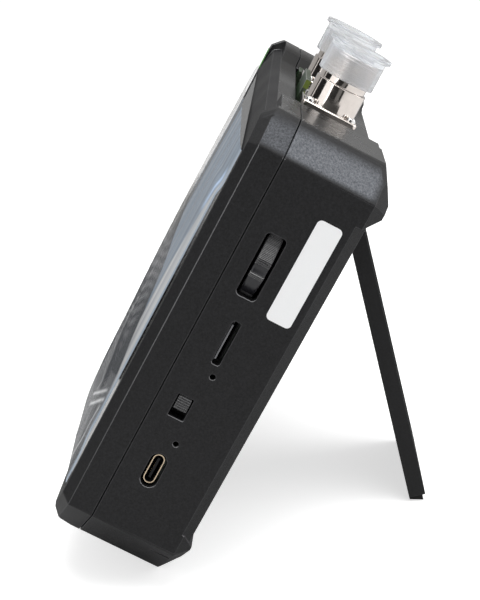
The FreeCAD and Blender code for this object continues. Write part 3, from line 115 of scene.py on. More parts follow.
# %% camera
CAMERA_AT = (0.4350, 0.0118, 0.1871)
CAMERA_ROUND = 3.1807
CAMERA_DOWN = 0.2886
FOCAL_PIXELS = 1411.5
SENSOR_TALL, IMAGE_TALL = 30.0, 600.0

camera_data = bpy.data.cameras.new("camera")
camera_data.sensor_fit = "VERTICAL"
camera_data.sensor_height = SENSOR_TALL
camera_data.lens = FOCAL_PIXELS * SENSOR_TALL / IMAGE_TALL
camera_data.clip_start = 0.01
camera = add_object("camera", camera_data)
ahead = Vector((
    math.cos(CAMERA_DOWN) * math.cos(CAMERA_ROUND),
    math.cos(CAMERA_DOWN) * math.sin(CAMERA_ROUND),
    -math.sin(CAMERA_DOWN),
))
camera.location = CAMERA_AT
camera.rotation_euler = ahead.to_track_quat("-Z", "Y").to_euler()
bpy.context.scene.camera = camera
print("lens %.1f mm" % camera_data.lens)

# %% [markdown]
# ## Node trees in a few words
# Every finish below is a small graph of shader nodes. Writing one out by hand takes a line for
# each node and each link, so a short helper adds a node and fills its sockets: a number or colour
# is set on the socket, and another node's output is linked to it. The other helpers are words for
# the nodes that the finishes use most, and each gives back the node's output.

# %% shader helpers
def set_or_link(socket, value):
    """Links another node's output to a socket, or sets the socket to a plain value."""
    if isinstance(value, bpy.types.NodeSocket):
        socket.id_data.links.new(value, socket)
    else:
        socket.default_value = value


def fill(node, **values):
    """Fills a node's sockets by name, with underscores for the spaces in the names."""
    for key, value in values.items():
        set_or_link(node.inputs[key.replace("_", " ")], value)


def add_node(tree, kind, inputs=None, **settings):
    """Adds a node, sets its properties, and fills its inputs by socket name or number."""
    node = tree.nodes.new(kind)
    for key, value in settings.items():
        setattr(node, key, value)
    for key, value in (inputs or {}).items():
        set_or_link(node.inputs[key], value)
    return node


def after(kind, inputs, **settings):
    """Adds a node to the tree that its linked inputs come from."""
    link = next(value for value in inputs.values() if isinstance(value, bpy.types.NodeSocket))
    return add_node(link.id_data, kind, inputs, **settings)


def maths(operation, first, second=0.0, third=0.0):
    """One Math node."""
    inputs = {0: first, 1: second, 2: third}
    return after("ShaderNodeMath", inputs, operation=operation).outputs[0]


def times(product, *others):
    """The product of two or more values."""
    for other in others:
        product = maths("MULTIPLY", product, other)
    return product


def scaled(value, factor, offset):
    """A value times a factor, plus an offset."""
    return maths("MULTIPLY_ADD", value, factor, offset)


def blend(factor, first, second, **settings):
    """A mix of two colours, each an output or a plain red, green and blue."""
    first, second = (side if isinstance(side, bpy.types.NodeSocket) else (*side, 1.0)
                     for side in (first, second))
    inputs = {0: factor, 6: first, 7: second}
    return after("ShaderNodeMix", inputs, data_type="RGBA", **settings).outputs[2]


def ramp_up(value, start, end):
    """A colour ramp used as a straight rise from 0 at one value to 1 at another."""
    node = after("ShaderNodeValToRGB", {0: value})
    for element, position, level in zip(node.color_ramp.elements, (start, end), (0.0, 1.0)):
        element.position = position
        element.color = (level, level, level, 1.0)
    return node.outputs[0]


def step_up(value, start, end):
    """A mask that rises softly from 0 at one value to 1 at another."""
    inputs = {"Value": value, "From Min": start, "From Max": end}
    return after("ShaderNodeMapRange", inputs, interpolation_type="SMOOTHSTEP").outputs[0]


def object_space(tree):
    """Object coordinates, in metres."""
    return add_node(tree, "ShaderNodeTexCoord").outputs["Object"]


def turned(vector, **settings):
    """A vector turned upright, so that its z runs up the leaning case."""
    inputs = {"Vector": vector, "Rotation": (lean, 0.0, 0.0)}
    return after("ShaderNodeMapping", inputs, **settings).outputs[0]


def split_upright(vector):
    """The x, y and z of a vector that is turned upright."""
    upright = turned(vector, vector_type="VECTOR")
    return after("ShaderNodeSeparateXYZ", {0: upright}).outputs


def upright_parts(tree, output):
    """The upright x, y and z of the object coordinates ("Object") or of the normal ("Normal")."""
    return split_upright(add_node(tree, "ShaderNodeTexCoord").outputs[output])


def size_of(value):
    """A mask for the size of a value, whichever its sign."""
    return maths("ABSOLUTE", value)


def noise(vector, scale, detail, **inputs):
    """A Noise texture."""
    inputs = {"Vector": vector, "Scale": scale, "Detail": detail, **inputs}
    return after("ShaderNodeTexNoise", inputs).outputs[0]


def streaky(space, scales, detail):
    """Noise drawn out into streaks: the larger the scale along an axis, the finer they are."""
    squeezed = after("ShaderNodeMapping", {"Vector": space, "Scale": scales})
    return noise(squeezed.outputs[0], 1.0, detail)


def bumped(height, strength, distance, **normal):
    """The normal that a height gives, over the true normal or over another one."""
    inputs = {"Height": height, "Strength": strength, "Distance": distance, **normal}
    return after("ShaderNodeBump", inputs).outputs[0]


def new_group(name, inputs, outputs):
    """An empty node group with named sockets: (name, kind, default) in, (name, kind) out."""
    tree = bpy.data.node_groups.new(name, "ShaderNodeTree")
    for label, kind, default in inputs:
        socket = tree.interface.new_socket(label, in_out="INPUT", socket_type="NodeSocket" + kind)
        if default is not None:
            socket.default_value = default
    for label, kind in outputs:
        tree.interface.new_socket(label, in_out="OUTPUT", socket_type="NodeSocket" + kind)
    return tree, tree.nodes.new("NodeGroupInput").outputs, tree.nodes.new("NodeGroupOutput")


def use_group(tree, group, **inputs):
    """Places a node group in a material, and gives back its outputs."""
    node = add_node(tree, "ShaderNodeGroup", node_tree=group)
    fill(node, **inputs)
    return node.outputs


def smudged(space, patch):
    """The amount of soft smudges, in patches of about one size."""
    return use_group(space.id_data, smudge_group, Vector=space, Patch_Size=patch)["Amount"]


def new_material(name, **sockets):
    """A material with one Principled BSDF, whose plain values are set here."""
    material = bpy.data.materials.new(name)
    material.use_nodes = True
    tree = material.node_tree
    shader = tree.nodes["Principled BSDF"]
    fill(shader, **sockets)
    return material, tree, shader


# %% [markdown]
# ## Effects that several finishes share
# Moulded plastic gets its matt look from a mould that was etched or spark eroded: thousands of
# tiny pits and grains. One group makes that grain as a height and as a faint change of tone.
# A second group makes soft, broad unevenness, such as handling marks, for the roughness. A third
# finds edges: the Bevel node gives the normal that a rounded edge would have, and where it
# differs from the true normal there is an edge, which is painted a little paler: partly wear,
# partly a painted highlight of the light that a rounded edge catches.

# %% grain, smudge and edge groups
grain_group, given, result = new_group(
    "moulded grain",
    [("Vector", "Vector", None), ("Grain Size", "Float", 0.0003)],
    [("Height", "Float"), ("Tone", "Float")],
)
fine = maths("DIVIDE", 1.0, given["Grain Size"])
pits = after("ShaderNodeTexVoronoi", {"Vector": given["Vector"], "Scale": fine})
grit = noise(given["Vector"], fine, 3.0, Roughness=0.7)
speck = noise(given["Vector"], times(fine, 0.45), 4.0, Roughness=0.8)
soft_pits = times(pits.outputs["Distance"], 0.6)
fill(result, Height=maths("ADD", soft_pits, grit), Tone=ramp_up(speck, 0.36, 0.68))

smudge_group, given, result = new_group(
    "soft smudges",
    [("Vector", "Vector", None), ("Patch Size", "Float", 0.03)],
    [("Amount", "Float")],
)
broad = maths("DIVIDE", 1.0, given["Patch Size"])
cloud = noise(given["Vector"], broad, 5.0, Roughness=0.6)
fill(result, Amount=ramp_up(cloud, 0.35, 0.65))

edge_group, given, result = new_group(
    "rounded edges",
    [("Radius", "Float", 0.0004)],
    [("Normal", "Vector"), ("Edge", "Float")],
)
rounded = after("ShaderNodeBevel", {"Radius": given["Radius"]}, samples=6).outputs[0]
true_normal = add_node(edge_group, "ShaderNodeNewGeometry").outputs["Normal"]
likeness = after("ShaderNodeVectorMath", {0: rounded, 1: true_normal},
                 operation="DOT_PRODUCT").outputs["Value"]
turn_away = maths("SUBTRACT", 1.0, likeness)
fill(result, Normal=rounded, Edge=ramp_up(turn_away, 0.008, 0.05))
print("groups:", [group.name for group in bpy.data.node_groups])


# %% [markdown]
# ## Black moulded plastic
# The case, the stand and the knobs are one family of plastic in different textures. A function
# makes each member of the family from its colour, its grain size and how deep the grain is, so
# that they stay alike where the real ones are alike.

# %% moulded plastics
def moulded(name, colour, grain=0.0003, depth=0.3, roughness=0.5, radius=0.0004, edge_wear_and_highlight=0.03,
            speckle=1.5, index=1.33, upward_highlight=0.0):
    """A moulded plastic: speckled grain, softly uneven gloss, and rounded, slightly paler edges.

    Faces that turn upwards, such as the upper flanks of its ribs, are painted lighter by the level
    given for that: a painted highlight of the light from above.
    """
    material, tree, shader = new_material(name, IOR=index)
    space = object_space(tree)
    grains = use_group(tree, grain_group, Vector=space, Grain_Size=grain)
    edges = use_group(tree, edge_group, Radius=radius)
    smudges = smudged(space, 0.025)
    light = [min(1.0, level * speckle) for level in colour]
    # pale edges: partly wear, partly a painted highlight of the light a rounded edge catches
    pale = [min(1.0, level + edge_wear_and_highlight) for level in colour]
    shade = blend(grains["Tone"], colour, light)
    # painted highlight: faces that turn upwards are painted lighter, as if lit from above
    if upward_highlight:
        flank = step_up(upright_parts(tree, "Normal")[2], 0.25, 0.75)
        shade = blend(flank, shade, [level + upward_highlight for level in colour])
    fill(shader, Base_Color=blend(edges["Edge"], shade, pale),
         Roughness=scaled(smudges, 0.1, roughness - 0.05),
         Normal=bumped(grains["Height"], depth, grain * 0.5, Normal=edges["Normal"]))
    return material


stand_plastic = moulded("stand plastic", (0.008, 0.008, 0.0085), depth=0.35)
# the knob's ribs: their pale crests and lighter upper flanks are painted highlights
knob_plastic = moulded("knob plastic", (0.010, 0.010, 0.012), 0.0002, 0.12, 0.28, 0.00012, 0.16,
                       index=1.45, upward_highlight=0.20)
inner_plastic = moulded("inner plastic", (0.006, 0.006, 0.0065), 0.0002, 0.2, 0.6, 0.0001, 0.0)
foot_rubber = moulded("foot rubber", (0.012, 0.012, 0.012), 0.0004, 0.6, 0.75, 0.0003, 0.01)
label_paper = moulded("label paper", (0.88, 0.885, 0.89), 0.0002, 0.05, 0.45, 0.00005, 0.0,
                      speckle=1.02, index=1.45)
white_plastic = moulded("white plastic", (0.78, 0.78, 0.76), 0.0003, 0.1, 0.4, 0.0001, 0.02,
                        speckle=1.03, index=1.45)
print("plastics:", stand_plastic.name, knob_plastic.name, label_paper.name, white_plastic.name)

# %% [markdown]
# ## Three textures on one moulding
# The mould of the case is not the same everywhere. The slanted corner cuts are spark eroded,
# the end faces of the bumpers are satin, and the rest is a fine matt. The light that the corner
# cuts catch from above is painted into their colour: much paler than the plastic, glinting with
# the grain, and darker on their front part. The shader tells them apart by the normal, turned
# upright: on a corner cut the sideways and the upward part of the normal are both large, so the
# smaller of the two makes a mask. Along the slope, the height less the distance from the middle
# tells the place on the cut: the texture and its painted light stop short of the rounded edges and
# of the back end, which leaves a dark soft band of painted shade there, and the satin stops short
# of the upper edge in the same way. Where the sides of the case meet the cuts and the front, the
# edges get painted highlights: thin pale lines.

# %% shell plastic
TOP_HALF_WIDTH = 81.0
CUT_FALL = 0.018

shell_plastic, tree, shader = new_material("shell plastic", IOR=1.33)
space = object_space(tree)
across, _, up = upright_parts(tree, "Normal")
sideways = size_of(across)
_, front_at, bottom_at = (float(v) for v in place([[0.0, 0.0, 0.0]])[0] @ LEAN)
out_at, deep_at, up_at = upright_parts(tree, "Object")
rise = maths("SUBTRACT", up_at, size_of(out_at))
upper_edge = (upright_box("front_shell")[1][2] - TOP_HALF_WIDTH) / 1000.0 + bottom_at
lower_edge = upper_edge - CUT_FALL

# painted shade: the cut's texture and painted light stop short of its upper and lower edges and its
# back end, leaving dark bands there
clear_of_shade_bands = times(step_up(rise, upper_edge - 0.0005, upper_edge - 0.0080),
                   step_up(rise, lower_edge + 0.0002, lower_edge + 0.0030),
                   step_up(deep_at, front_at + 0.0362, front_at + 0.0330))
coarse = times(step_up(maths("MINIMUM", sideways, up), 0.50, 0.66), clear_of_shade_bands)
# painted shade: the satin and its sheen stop short of the upper edge, leaving a dark band there
satin = times(step_up(up, 0.86, 0.95), step_up(rise, upper_edge - 0.0006, upper_edge + 0.0012))
fine_grain = use_group(tree, grain_group, Vector=space, Grain_Size=0.00028)
coarse_grain = use_group(tree, grain_group, Vector=space, Grain_Size=0.00024)
edges = use_group(tree, edge_group, Radius=0.00045)
smudges = smudged(space, 0.03)

matt = blend(fine_grain["Tone"], (0.0045, 0.0045, 0.0050), (0.0150, 0.0150, 0.0165))
sheen = blend(smudges, (0.014, 0.0135, 0.013), (0.022, 0.0215, 0.021))
# pale edges: partly wear, partly a painted highlight
edge_wear_and_highlight = blend(times(edges["Edge"], 0.8), blend(satin, matt, sheen), (0.060, 0.060, 0.063))
# painted light on the corner cuts: much paler than the plastic, glinting with the grain, darker on
# the front part
front_half = step_up(deep_at, front_at + 0.0100, front_at + 0.0094)
dim_cut_light = blend(front_half, (0.060, 0.065, 0.075), (0.035, 0.038, 0.044))
bright_cut_light = blend(front_half, (0.230, 0.240, 0.260), (0.140, 0.146, 0.160))
painted_cut_light = blend(coarse_grain["Tone"], dim_cut_light, bright_cut_light)

round_x, _, round_z = split_upright(edges["Normal"])
# painted highlights: thin pale lines where the sides meet the slot sills, the corner cuts and the
# front
side_edge = times(edges["Edge"], step_up(sideways, 0.85, 0.97))
sill_highlight = times(side_edge, step_up(maths("MINIMUM", round_x, round_z), 0.08, 0.28))
front_edge_highlight = times(side_edge, step_up(deep_at, front_at + 0.0036, front_at + 0.0030),
                   step_up(up_at, bottom_at - 0.02, bottom_at + 0.09))
lit = blend(maths("MAXIMUM", sill_highlight, front_edge_highlight), edge_wear_and_highlight, (0.34, 0.34, 0.35))

gloss = scaled(satin, -0.26, scaled(smudges, 0.08, 0.50))
fine_height = times(fine_grain["Height"], scaled(satin, -0.7, 0.8))
height = scaled(times(coarse_grain["Height"], coarse), 2.5, fine_height)
fill(shader, Base_Color=blend(coarse, lit, painted_cut_light),
     Roughness=scaled(coarse, 0.08, gloss),
     Normal=bumped(height, 0.5, 0.00015, Normal=edges["Normal"]))
print("shell plastic:", len(tree.nodes), "nodes")

# %% [markdown]
# ## Metals
# A turned part carries very fine rings from the lathe under its plating, and a stamped part fine
# lines along its sheet. Both are stretched noise: noise whose coordinates are squeezed along one
# direction. The rings matter here because they draw a highlight out across the barrel.


# %% plated and sheet metals
TARNISH = 0.85


def plated(name, colour, roughness, streak, depth=0.04):
    """A metal with streaks of gloss; its three streak scales are streaks per millimetre."""
    material, tree, shader = new_material(name, Metallic=1.0)
    space = turned(object_space(tree))
    lines = streaky(space, [1000.0 * scale for scale in streak], 3.0)
    edges = use_group(tree, edge_group, Radius=0.0001)
    smudges = smudged(space, 0.006)
    dull = [level * TARNISH for level in colour]
    fill(shader, Base_Color=blend(smudges, colour, dull),
         Roughness=scaled(lines, roughness, roughness * 0.5),
         Normal=bumped(lines, depth, 0.00005, Normal=edges["Normal"]))
    return material


nickel = plated("bright nickel", (0.76, 0.70, 0.655), 0.10, (0.2, 0.2, 6.0))
steel = plated("plated steel", (0.60, 0.585, 0.57), 0.22, (2.0, 2.0, 2.0))
screw_steel = plated("bright steel", (0.90, 0.89, 0.88), 0.09, (2.0, 2.0, 2.0))
gold = plated("gold plating", (0.86, 0.62, 0.27), 0.16, (0.3, 0.3, 5.0))
tinned = plated("tinned sheet", (0.66, 0.65, 0.63), 0.3, (4.0, 0.4, 0.4), depth=0.1)
rim_metal = plated("receptacle shell", (0.62, 0.50, 0.36), 0.2, (0.4, 3.0, 3.0), depth=0.05)
dark_metal = plated("card socket", (0.20, 0.20, 0.21), 0.35, (4.0, 0.4, 0.4), depth=0.1)
brass = plated("brass", (0.72, 0.53, 0.25), 0.25, (2.0, 2.0, 2.0))
print("metals:", [metal.name for metal in (nickel, steel, screw_steel, gold, tinned, brass)])

# %% [markdown]
# ## Glass, film and caps
# Three clear things behave in three ways. The cover glass has black ink behind it, so it is a
# dark coat with a hard polish. The loose film shows mostly as reflections along its folds, and
# these reflections are painted into its colour, point by point. The dust caps are soft
# polyethylene, which scatters light inside: milky, with the port as a ghost.

# %% clear and dark finishes
def smooth_finish(name, colour, other, patch, roughness, uneven=0.08, **sockets):
    """A plain finish that drifts between two close colours and varies a little in gloss."""
    material, tree, shader = new_material(name, **sockets)
    drift = smudged(object_space(tree), patch)
    fill(shader, Base_Color=blend(drift, colour, other),
         Roughness=scaled(drift, uneven, roughness))
    return material


cover_glass = smooth_finish("cover glass", (0.004, 0.0045, 0.005), (0.007, 0.0075, 0.009), 0.012,
                            0.03, uneven=0.05, IOR=1.52)

clear_film, tree, shader = new_material("clear film", IOR=1.02, Coat_Roughness=0.12)
# streaks: bands of a darker copy of the painted reflections
streaks = streaky(turned(object_space(tree)), (420.0, 60.0, 11.0), 4.0)
bands = ramp_up(streaks, 0.35, 0.62)
painted = add_node(tree, "ShaderNodeAttribute", attribute_name="film_painted_light").outputs
deeper = blend(1.0, painted["Color"], (0.72, 0.74, 0.77), blend_type="MULTIPLY")
edge_on = step_up(add_node(tree, "ShaderNodeLayerWeight").outputs["Facing"], 0.30, 0.68)
cover = after("ShaderNodeMix", {0: edge_on, 2: 0.14, 3: painted["Alpha"]}).outputs[0]
taut = step_up(painted["Alpha"], 0.74, 0.80)
fill(shader, Base_Color=blend(bands, deeper, painted["Color"]), Alpha=cover,
     Roughness=scaled(bands, 0.10, 0.16), Coat_Weight=scaled(taut, 0.22, 0.06))

green_film, tree, shader = new_material("green film", IOR=1.45, Roughness=0.25)
haze = smudged(object_space(tree), 0.004)
fill(shader, Base_Color=blend(haze, (0.10, 0.42, 0.06), (0.14, 0.52, 0.08)),
     Alpha=scaled(haze, 0.1, 0.8))

cap_plastic, tree, shader = new_material("milky cap plastic", IOR=1.40, Transmission_Weight=0.76)
space = turned(object_space(tree))
milk = smudged(space, 0.008)
streaks = streaky(space, (420.0, 420.0, 60.0), 2.0)
fill(shader, Base_Color=blend(milk, (0.93, 0.96, 1.0), (0.99, 0.995, 1.0)),
     Roughness=scaled(streaks, 0.14, 0.10), Normal=bumped(streaks, 0.06, 0.0001))
print("clear finishes:", clear_film.name, green_film.name, cap_plastic.name)

# %% [markdown]
# ## Circuit boards and the pieces inside
# Little of the inside shows, but the board's green edge does, in the slot between the ports. The
# board gets a solder mask with copper tracks under it: two crossed sets of bands, kept only where
# a cell pattern allows, which reads as routing. Its cut edges are dark, but bare olive laminate at
# the ends of the middle tab, whose faces have a tinned rim. Both are masks again: the normal tells
# a face from an edge, and the height up the case tells a tab. The rest of the inside is quiet.

# %% board and inner finishes
SLOT_FLOOR = 129.8

board_green, tree, shader = new_material("solder mask", IOR=1.5, Roughness=0.35)
space = turned(object_space(tree))
cells = after("ShaderNodeTexVoronoi", {"Vector": space, "Scale": 160.0},
              distance="CHEBYCHEV").outputs["Distance"]
tracks = after("ShaderNodeTexWave", {"Vector": space, "Scale": 260.0, "Distortion": 0.6}).outputs[0]
routed = times(ramp_up(tracks, 0.72, 0.80), ramp_up(cells, 0.25, 0.3))
masked = blend(routed, (0.012, 0.035, 0.012), (0.03, 0.07, 0.02))
out_at, _, up_at = upright_parts(tree, "Object")
level_out = float((place([[0.0, 0.0, SLOT_FLOOR]]) @ LEAN)[0, 2])
tab_side = step_up(size_of(out_at), 0.0122, 0.0127)
tab_top = step_up(up_at, level_out + 0.0042, level_out + 0.0045)
plated_rim = times(maths("MAXIMUM", tab_side, tab_top),
                   step_up(up_at, level_out, level_out + 0.0003))
side_normal, face_normal, _ = upright_parts(tree, "Normal")
flat_face = step_up(size_of(face_normal), 0.5, 0.7)
bare_end = times(step_up(size_of(side_normal), 0.5, 0.7),
                 step_up(up_at, level_out + 0.0018, level_out + 0.0021))
cut_edge = blend(bare_end, (0.035, 0.050, 0.030), (0.13, 0.18, 0.022))
tabbed = blend(plated_rim, masked, (0.50, 0.52, 0.50))
fill(shader, Base_Color=blend(flat_face, cut_edge, tabbed),
     Normal=bumped(routed, 0.3, 0.00004))

foil_wrap = smooth_finish("battery wrap", (0.42, 0.44, 0.47), (0.5, 0.52, 0.55), 0.02, 0.3,
                          Metallic=0.6)
red_wire = smooth_finish("red wire", (0.42, 0.02, 0.015), (0.5, 0.03, 0.02), 0.004, 0.4)
amber_flex = smooth_finish("amber ribbon", (0.42, 0.17, 0.03), (0.5, 0.22, 0.04), 0.006, 0.35)
panel_back = smooth_finish("panel back", (0.35, 0.35, 0.36), (0.42, 0.42, 0.43), 0.02, 0.3,
                           Metallic=0.7)
foam = smooth_finish("foam", (0.03, 0.03, 0.03), (0.045, 0.045, 0.045), 0.001, 0.85)
print("materials so far:", len(bpy.data.materials))

# %% [markdown]
# ## Dressing the CAD nodes
# A node whose shape is already right keeps its mesh, and only its material slots are filled. The
# table reads as a parts list: which finish each node has.

# %% finishes of the CAD nodes
FINISHES = {
    stand_plastic: "stand_plate",
    foot_rubber: "stand_foot_pad",
    cover_glass: "touch_glass",
    label_paper: "side_label",
    board_green: "radio_board side_board",
    tinned: "rf_shield_left rf_shield_right",
    dark_metal: "microsd_socket",
    rim_metal: "usb_c_shell",
    gold: "port_1_contact port_2_contact",
    steel: "case_screws board_screws side_board_screws jog_axle hinge_pin_left hinge_pin_right",
    brass: "threaded_inserts",
    inner_plastic: "board_link usb_c_tongue power_switch_body reset_switch_body "
                   "jog_frame jog_yoke reset_plunger charge_light",
    white_plastic: "port_1_insulator port_2_insulator",
    foil_wrap: "battery_pack",
    red_wire: "battery_lead",
    amber_flex: "display_ribbon",
    panel_back: "display_panel",
    foam: "display_gasket battery_pad",
}
for finish, names in FINISHES.items():
    for name in names.split():
        mesh = frame["nodes"][name].data
        mesh.materials.clear()
        mesh.materials.append(finish)
print("finished nodes:", sum(len(names.split()) for names in FINISHES.values()))

# %% [markdown]
# ## Two sockets that swallow light
# A real receptacle is dark inside, because light that enters is lost between contacts and springs
# that a plain model leaves out, so that shade is painted here. The faces that look out of the case
# keep the metal. The others get a second, nearly black slot of painted shade, chosen face by face
# from the normal and the place.

# %% socket insides
# painted shade: a nearly black finish for the faces inside the sockets
socket_dark = moulded("socket dark", (0.006, 0.006, 0.007), 0.0002, 0.1, 0.7, 0.0001, 0.0)


def darken_inside(node, keep):
    """Copies a node's mesh and paints the faces that keep() does not choose nearly black, as shade.
    """
    mesh = frame["nodes"][node].data.copy()
    centres = to_upright(read_array(mesh.polygons, "center"))
    chosen = keep(centres, read_array(mesh.polygons, "normal") @ LEAN)
    mesh.materials.append(socket_dark)
    mesh.polygons.foreach_set("material_index", np.where(chosen, 0, 1))
    piece = add_object(node + "_shaded", mesh)
    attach(piece, "case")
    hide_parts(node)
    print(node, int(chosen.sum()), "bright faces of", len(chosen))


MOUTH = upright_box("usb_c_shell")[1][0] - 0.1
COVER_BACK = upright_box("microsd_socket")[0][1] + 0.5
COVER_END = upright_box("microsd_socket")[1][0] - 2.4
darken_inside("usb_c_shell", lambda at, way: (way[:, 0] > 0.7) & (at[:, 0] > MOUTH))
darken_inside("microsd_socket", lambda at, way: (at[:, 1] < COVER_BACK) & (at[:, 0] > COVER_END))

# %% [markdown]
# ## Surfaces from arrays
# All new pieces are surfaces worked out with numpy. Most are a stack of closed loops, like the
# ribs of a ship: each loop is a row of points, neighbouring loops are joined by quads, and the
# first and last loops are closed by a fan. A lathe part, a rounded block and a ribbed knob all
# come from the same function, and only the loops differ.


# %% loops to a mesh
def loops_to_faces(levels, around, first):
    """Quads between neighbouring closed loops, and fans that close both ends on their middles."""
    row = np.arange(levels - 1)[:, None] * around
    step = np.arange(around)[None, :]
    after = (step + 1) % around
    quads = np.stack([row + step, row + after, row + around + after, row + around + step], -1)
    last = (levels - 1) * around
    bottom = levels * around
    start_fan = np.stack([np.full(around, bottom), after[0], step[0]], -1)
    end_fan = np.stack([np.full(around, bottom + 1), last + step[0], last + after[0]], -1)
    return [face for part in (quads.reshape(-1, 4), start_fan, end_fan)
            for face in (part + first).tolist()]


def finished(name, points, faces, material, body, stands_for, slot, sharp_at):
    """Makes the mesh in place, gives it its finish, and lets it ride on its body."""
    mesh = bpy.data.meshes.new(name)
    mesh.from_pydata(place(points).tolist(), [], faces)
    mesh.materials.append(material)
    mesh.validate()
    mesh.shade_smooth()
    mesh.set_sharp_from_angle(angle=math.radians(sharp_at))
    piece = add_object(name, mesh)
    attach(piece, body)
    if stands_for:
        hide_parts(*stands_for)
    print(name, len(mesh.polygons), "faces")
    return piece


def stack_mesh(name, stacks, *dressing):
    """One object from stacks of loops, each an array (levels, around, 3) in upright millimetres.

    The loops run anticlockwise seen from the end they grow towards, so that the faces point
    outwards. The dressing is what finished() takes after the faces.
    """
    points, faces, count = [], [], 0
    for loops in stacks:
        levels, around = loops.shape[:2]
        ends = np.stack([loops[0].mean(0), loops[-1].mean(0)])
        points.append(np.concatenate([loops.reshape(-1, 3), ends]))
        faces += loops_to_faces(levels, around, count)
        count += levels * around + 2
    return finished(name, np.concatenate(points), faces, *dressing)


def full_turn(around):
    """Evenly spaced angles once round a circle."""
    return np.linspace(0.0, 2.0 * np.pi, around, endpoint=False)


def ring_points(radius, height, turn, middle):
    """Points at a radius and an angle about a vertical axis: x by the cosine, y by the sine."""
    x = middle[0] + radius * np.cos(turn)
    y = middle[1] + radius * np.sin(turn)
    return np.stack([x, y, np.broadcast_to(height, x.shape)], -1)


def circle_loops(profile, middle, around=96):
    """Loops of a lathe part: each profile row (radius, height) becomes a circle."""
    profile = np.asarray(profile, float)
    return ring_points(profile[:, :1], profile[:, 1:2], full_turn(around), middle)


def round_profile(corners, radius):
    """A profile whose inner corners are replaced by arcs: each arc is a quadratic curve from one
    radius before the corner to one radius after it, with the corner as its control."""
    corners = np.asarray(corners, float)
    rows = [corners[0]]
    share = np.linspace(0.0, 1.0, 5)[:, None]
    for before, corner, after in zip(corners[:-2], corners[1:-1], corners[2:]):
        start, end = (corner + way / np.linalg.norm(way) * min(radius, 0.45 * np.linalg.norm(way))
                      for way in (before - corner, after - corner))
        rows.extend((1 - share) ** 2 * start + 2 * share * (1 - share) * corner + share ** 2 * end)
    rows.append(corners[-1])
    return np.array(rows)


def round_square(half_a, half_b, corner, around=64):
    """A rounded rectangle as (around, 2): a circle of the corner radius with its quarters moved
    out."""
    turn = (np.arange(around) + 0.5) / around * 2.0 * np.pi
    unit = np.stack([np.cos(turn), np.sin(turn)], -1)
    return unit * corner + np.sign(unit) * (np.array([half_a, half_b]) - corner)


# %% [markdown]
# ## Softer edges on the two shells
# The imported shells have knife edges, and moulded corners are soft. Each shell is copied, its loose
# triangles are joined, and flat regions become single faces. An edge is then worth rounding if the
# two faces beside it point the right ways: a face's heading is the angle of its normal round the
# outline of the case, 0 for the right side and 90 for the top. An edge between heading 90 and 45
# is the edge of a top corner cut, wherever it runs, so bevels round with it. The Bevel modifier
# then rounds each edge by its own share of one width.

# %% rounded shells
WIDEST = 2.4
SOFT_EDGES = ((45.0, 90.0, 1.9), (0.0, 45.0, 0.35), (-49.8, 0.0, 0.5), (-90.0, -49.8, 1.4))
HEADING_MATCH = 8.0
CORNER_REACH, BOTTOM_REACH, SIDE_FROM = 11.0, 16.0, 70.0


def edge_weights(mesh):
    """Share of the widest bevel for each edge, from the headings of the two faces beside it."""
    ends = read_array(mesh.edges, "vertices", 2, int)
    normals = read_array(mesh.polygons, "normal") @ LEAN
    heading = np.degrees(np.arctan2(normals[:, 2], np.abs(normals[:, 0])))
    outward = np.hypot(normals[:, 0], normals[:, 2]) > 0.35
    loop_edge = read_array(mesh.loops, "edge_index", 1, int)
    sizes = read_array(mesh.polygons, "loop_total", 1, int)
    owner = np.repeat(np.arange(len(mesh.polygons)), sizes)
    order = np.argsort(loop_edge, kind="stable")
    first = np.searchsorted(loop_edge[order], np.arange(len(mesh.edges)))
    one, other = owner[order][first], owner[order][np.minimum(first + 1, len(order) - 1)]
    points = to_upright(read_array(mesh.vertices, "co"))
    middle = points[ends].mean(1)
    out, up = np.abs(middle[:, 0]), middle[:, 2]
    reach = np.abs(points).max(0)
    outer = (out + up > reach[0] + reach[2] - CORNER_REACH) | (up < BOTTOM_REACH)
    outer &= (out > SIDE_FROM) & outward[one] & outward[other]
    pair = np.sort(np.stack([heading[one], heading[other]], -1), -1)
    weights = np.zeros(len(mesh.edges))
    for low_way, high_way, width in SOFT_EDGES:
        match = (np.abs(pair - [low_way, high_way]) < HEADING_MATCH).all(-1)
        weights[match & outer] = width / WIDEST
    return weights


def rounded_shell(node):
    """A joined copy of a shell, with its weighted edges rounded by a modifier."""
    tools = bmesh.new()
    tools.from_mesh(frame["nodes"][node].data)
    bmesh.ops.remove_doubles(tools, verts=tools.verts, dist=0.000002)
    bmesh.ops.dissolve_limit(tools, angle_limit=math.radians(0.3), verts=tools.verts,
                             edges=tools.edges)
    mesh = bpy.data.meshes.new(node + "_rounded")
    tools.to_mesh(mesh)
    tools.free()
    weights = edge_weights(mesh)
    shares = mesh.attributes.new("bevel_weight_edge", "FLOAT", "EDGE")
    shares.data.foreach_set("value", weights)
    mesh.materials.append(shell_plastic)
    mesh.shade_smooth()
    mesh.set_sharp_from_angle(angle=math.radians(25.0))
    piece = add_object(node + "_rounded", mesh)
    bevel = piece.modifiers.new("soft edges", "BEVEL")
    bevel.limit_method = "WEIGHT"
    bevel.width = WIDEST / 1000.0
    bevel.segments = 5
    bevel.use_clamp_overlap = False
    bevel.harden_normals = True
    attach(piece, "case")
    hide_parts(node)
    print(node, len(mesh.polygons), "faces,", int((weights > 0).sum()), "soft edges")


for node in ("front_shell", "rear_shell"):
    rounded_shell(node)

# %% [markdown]
# ## The coaxial ports
# Each port is turned from brass and plated: a square flange, a smooth barrel, an undercut and a
# 5/8 inch thread with 24 turns to the inch. The thread could be a helix swept along a path, but
# it is simpler as a lathe surface whose radius also depends on the angle: adding the angle to the
# height before the groove is worked out tilts the rings into one continuous screw.

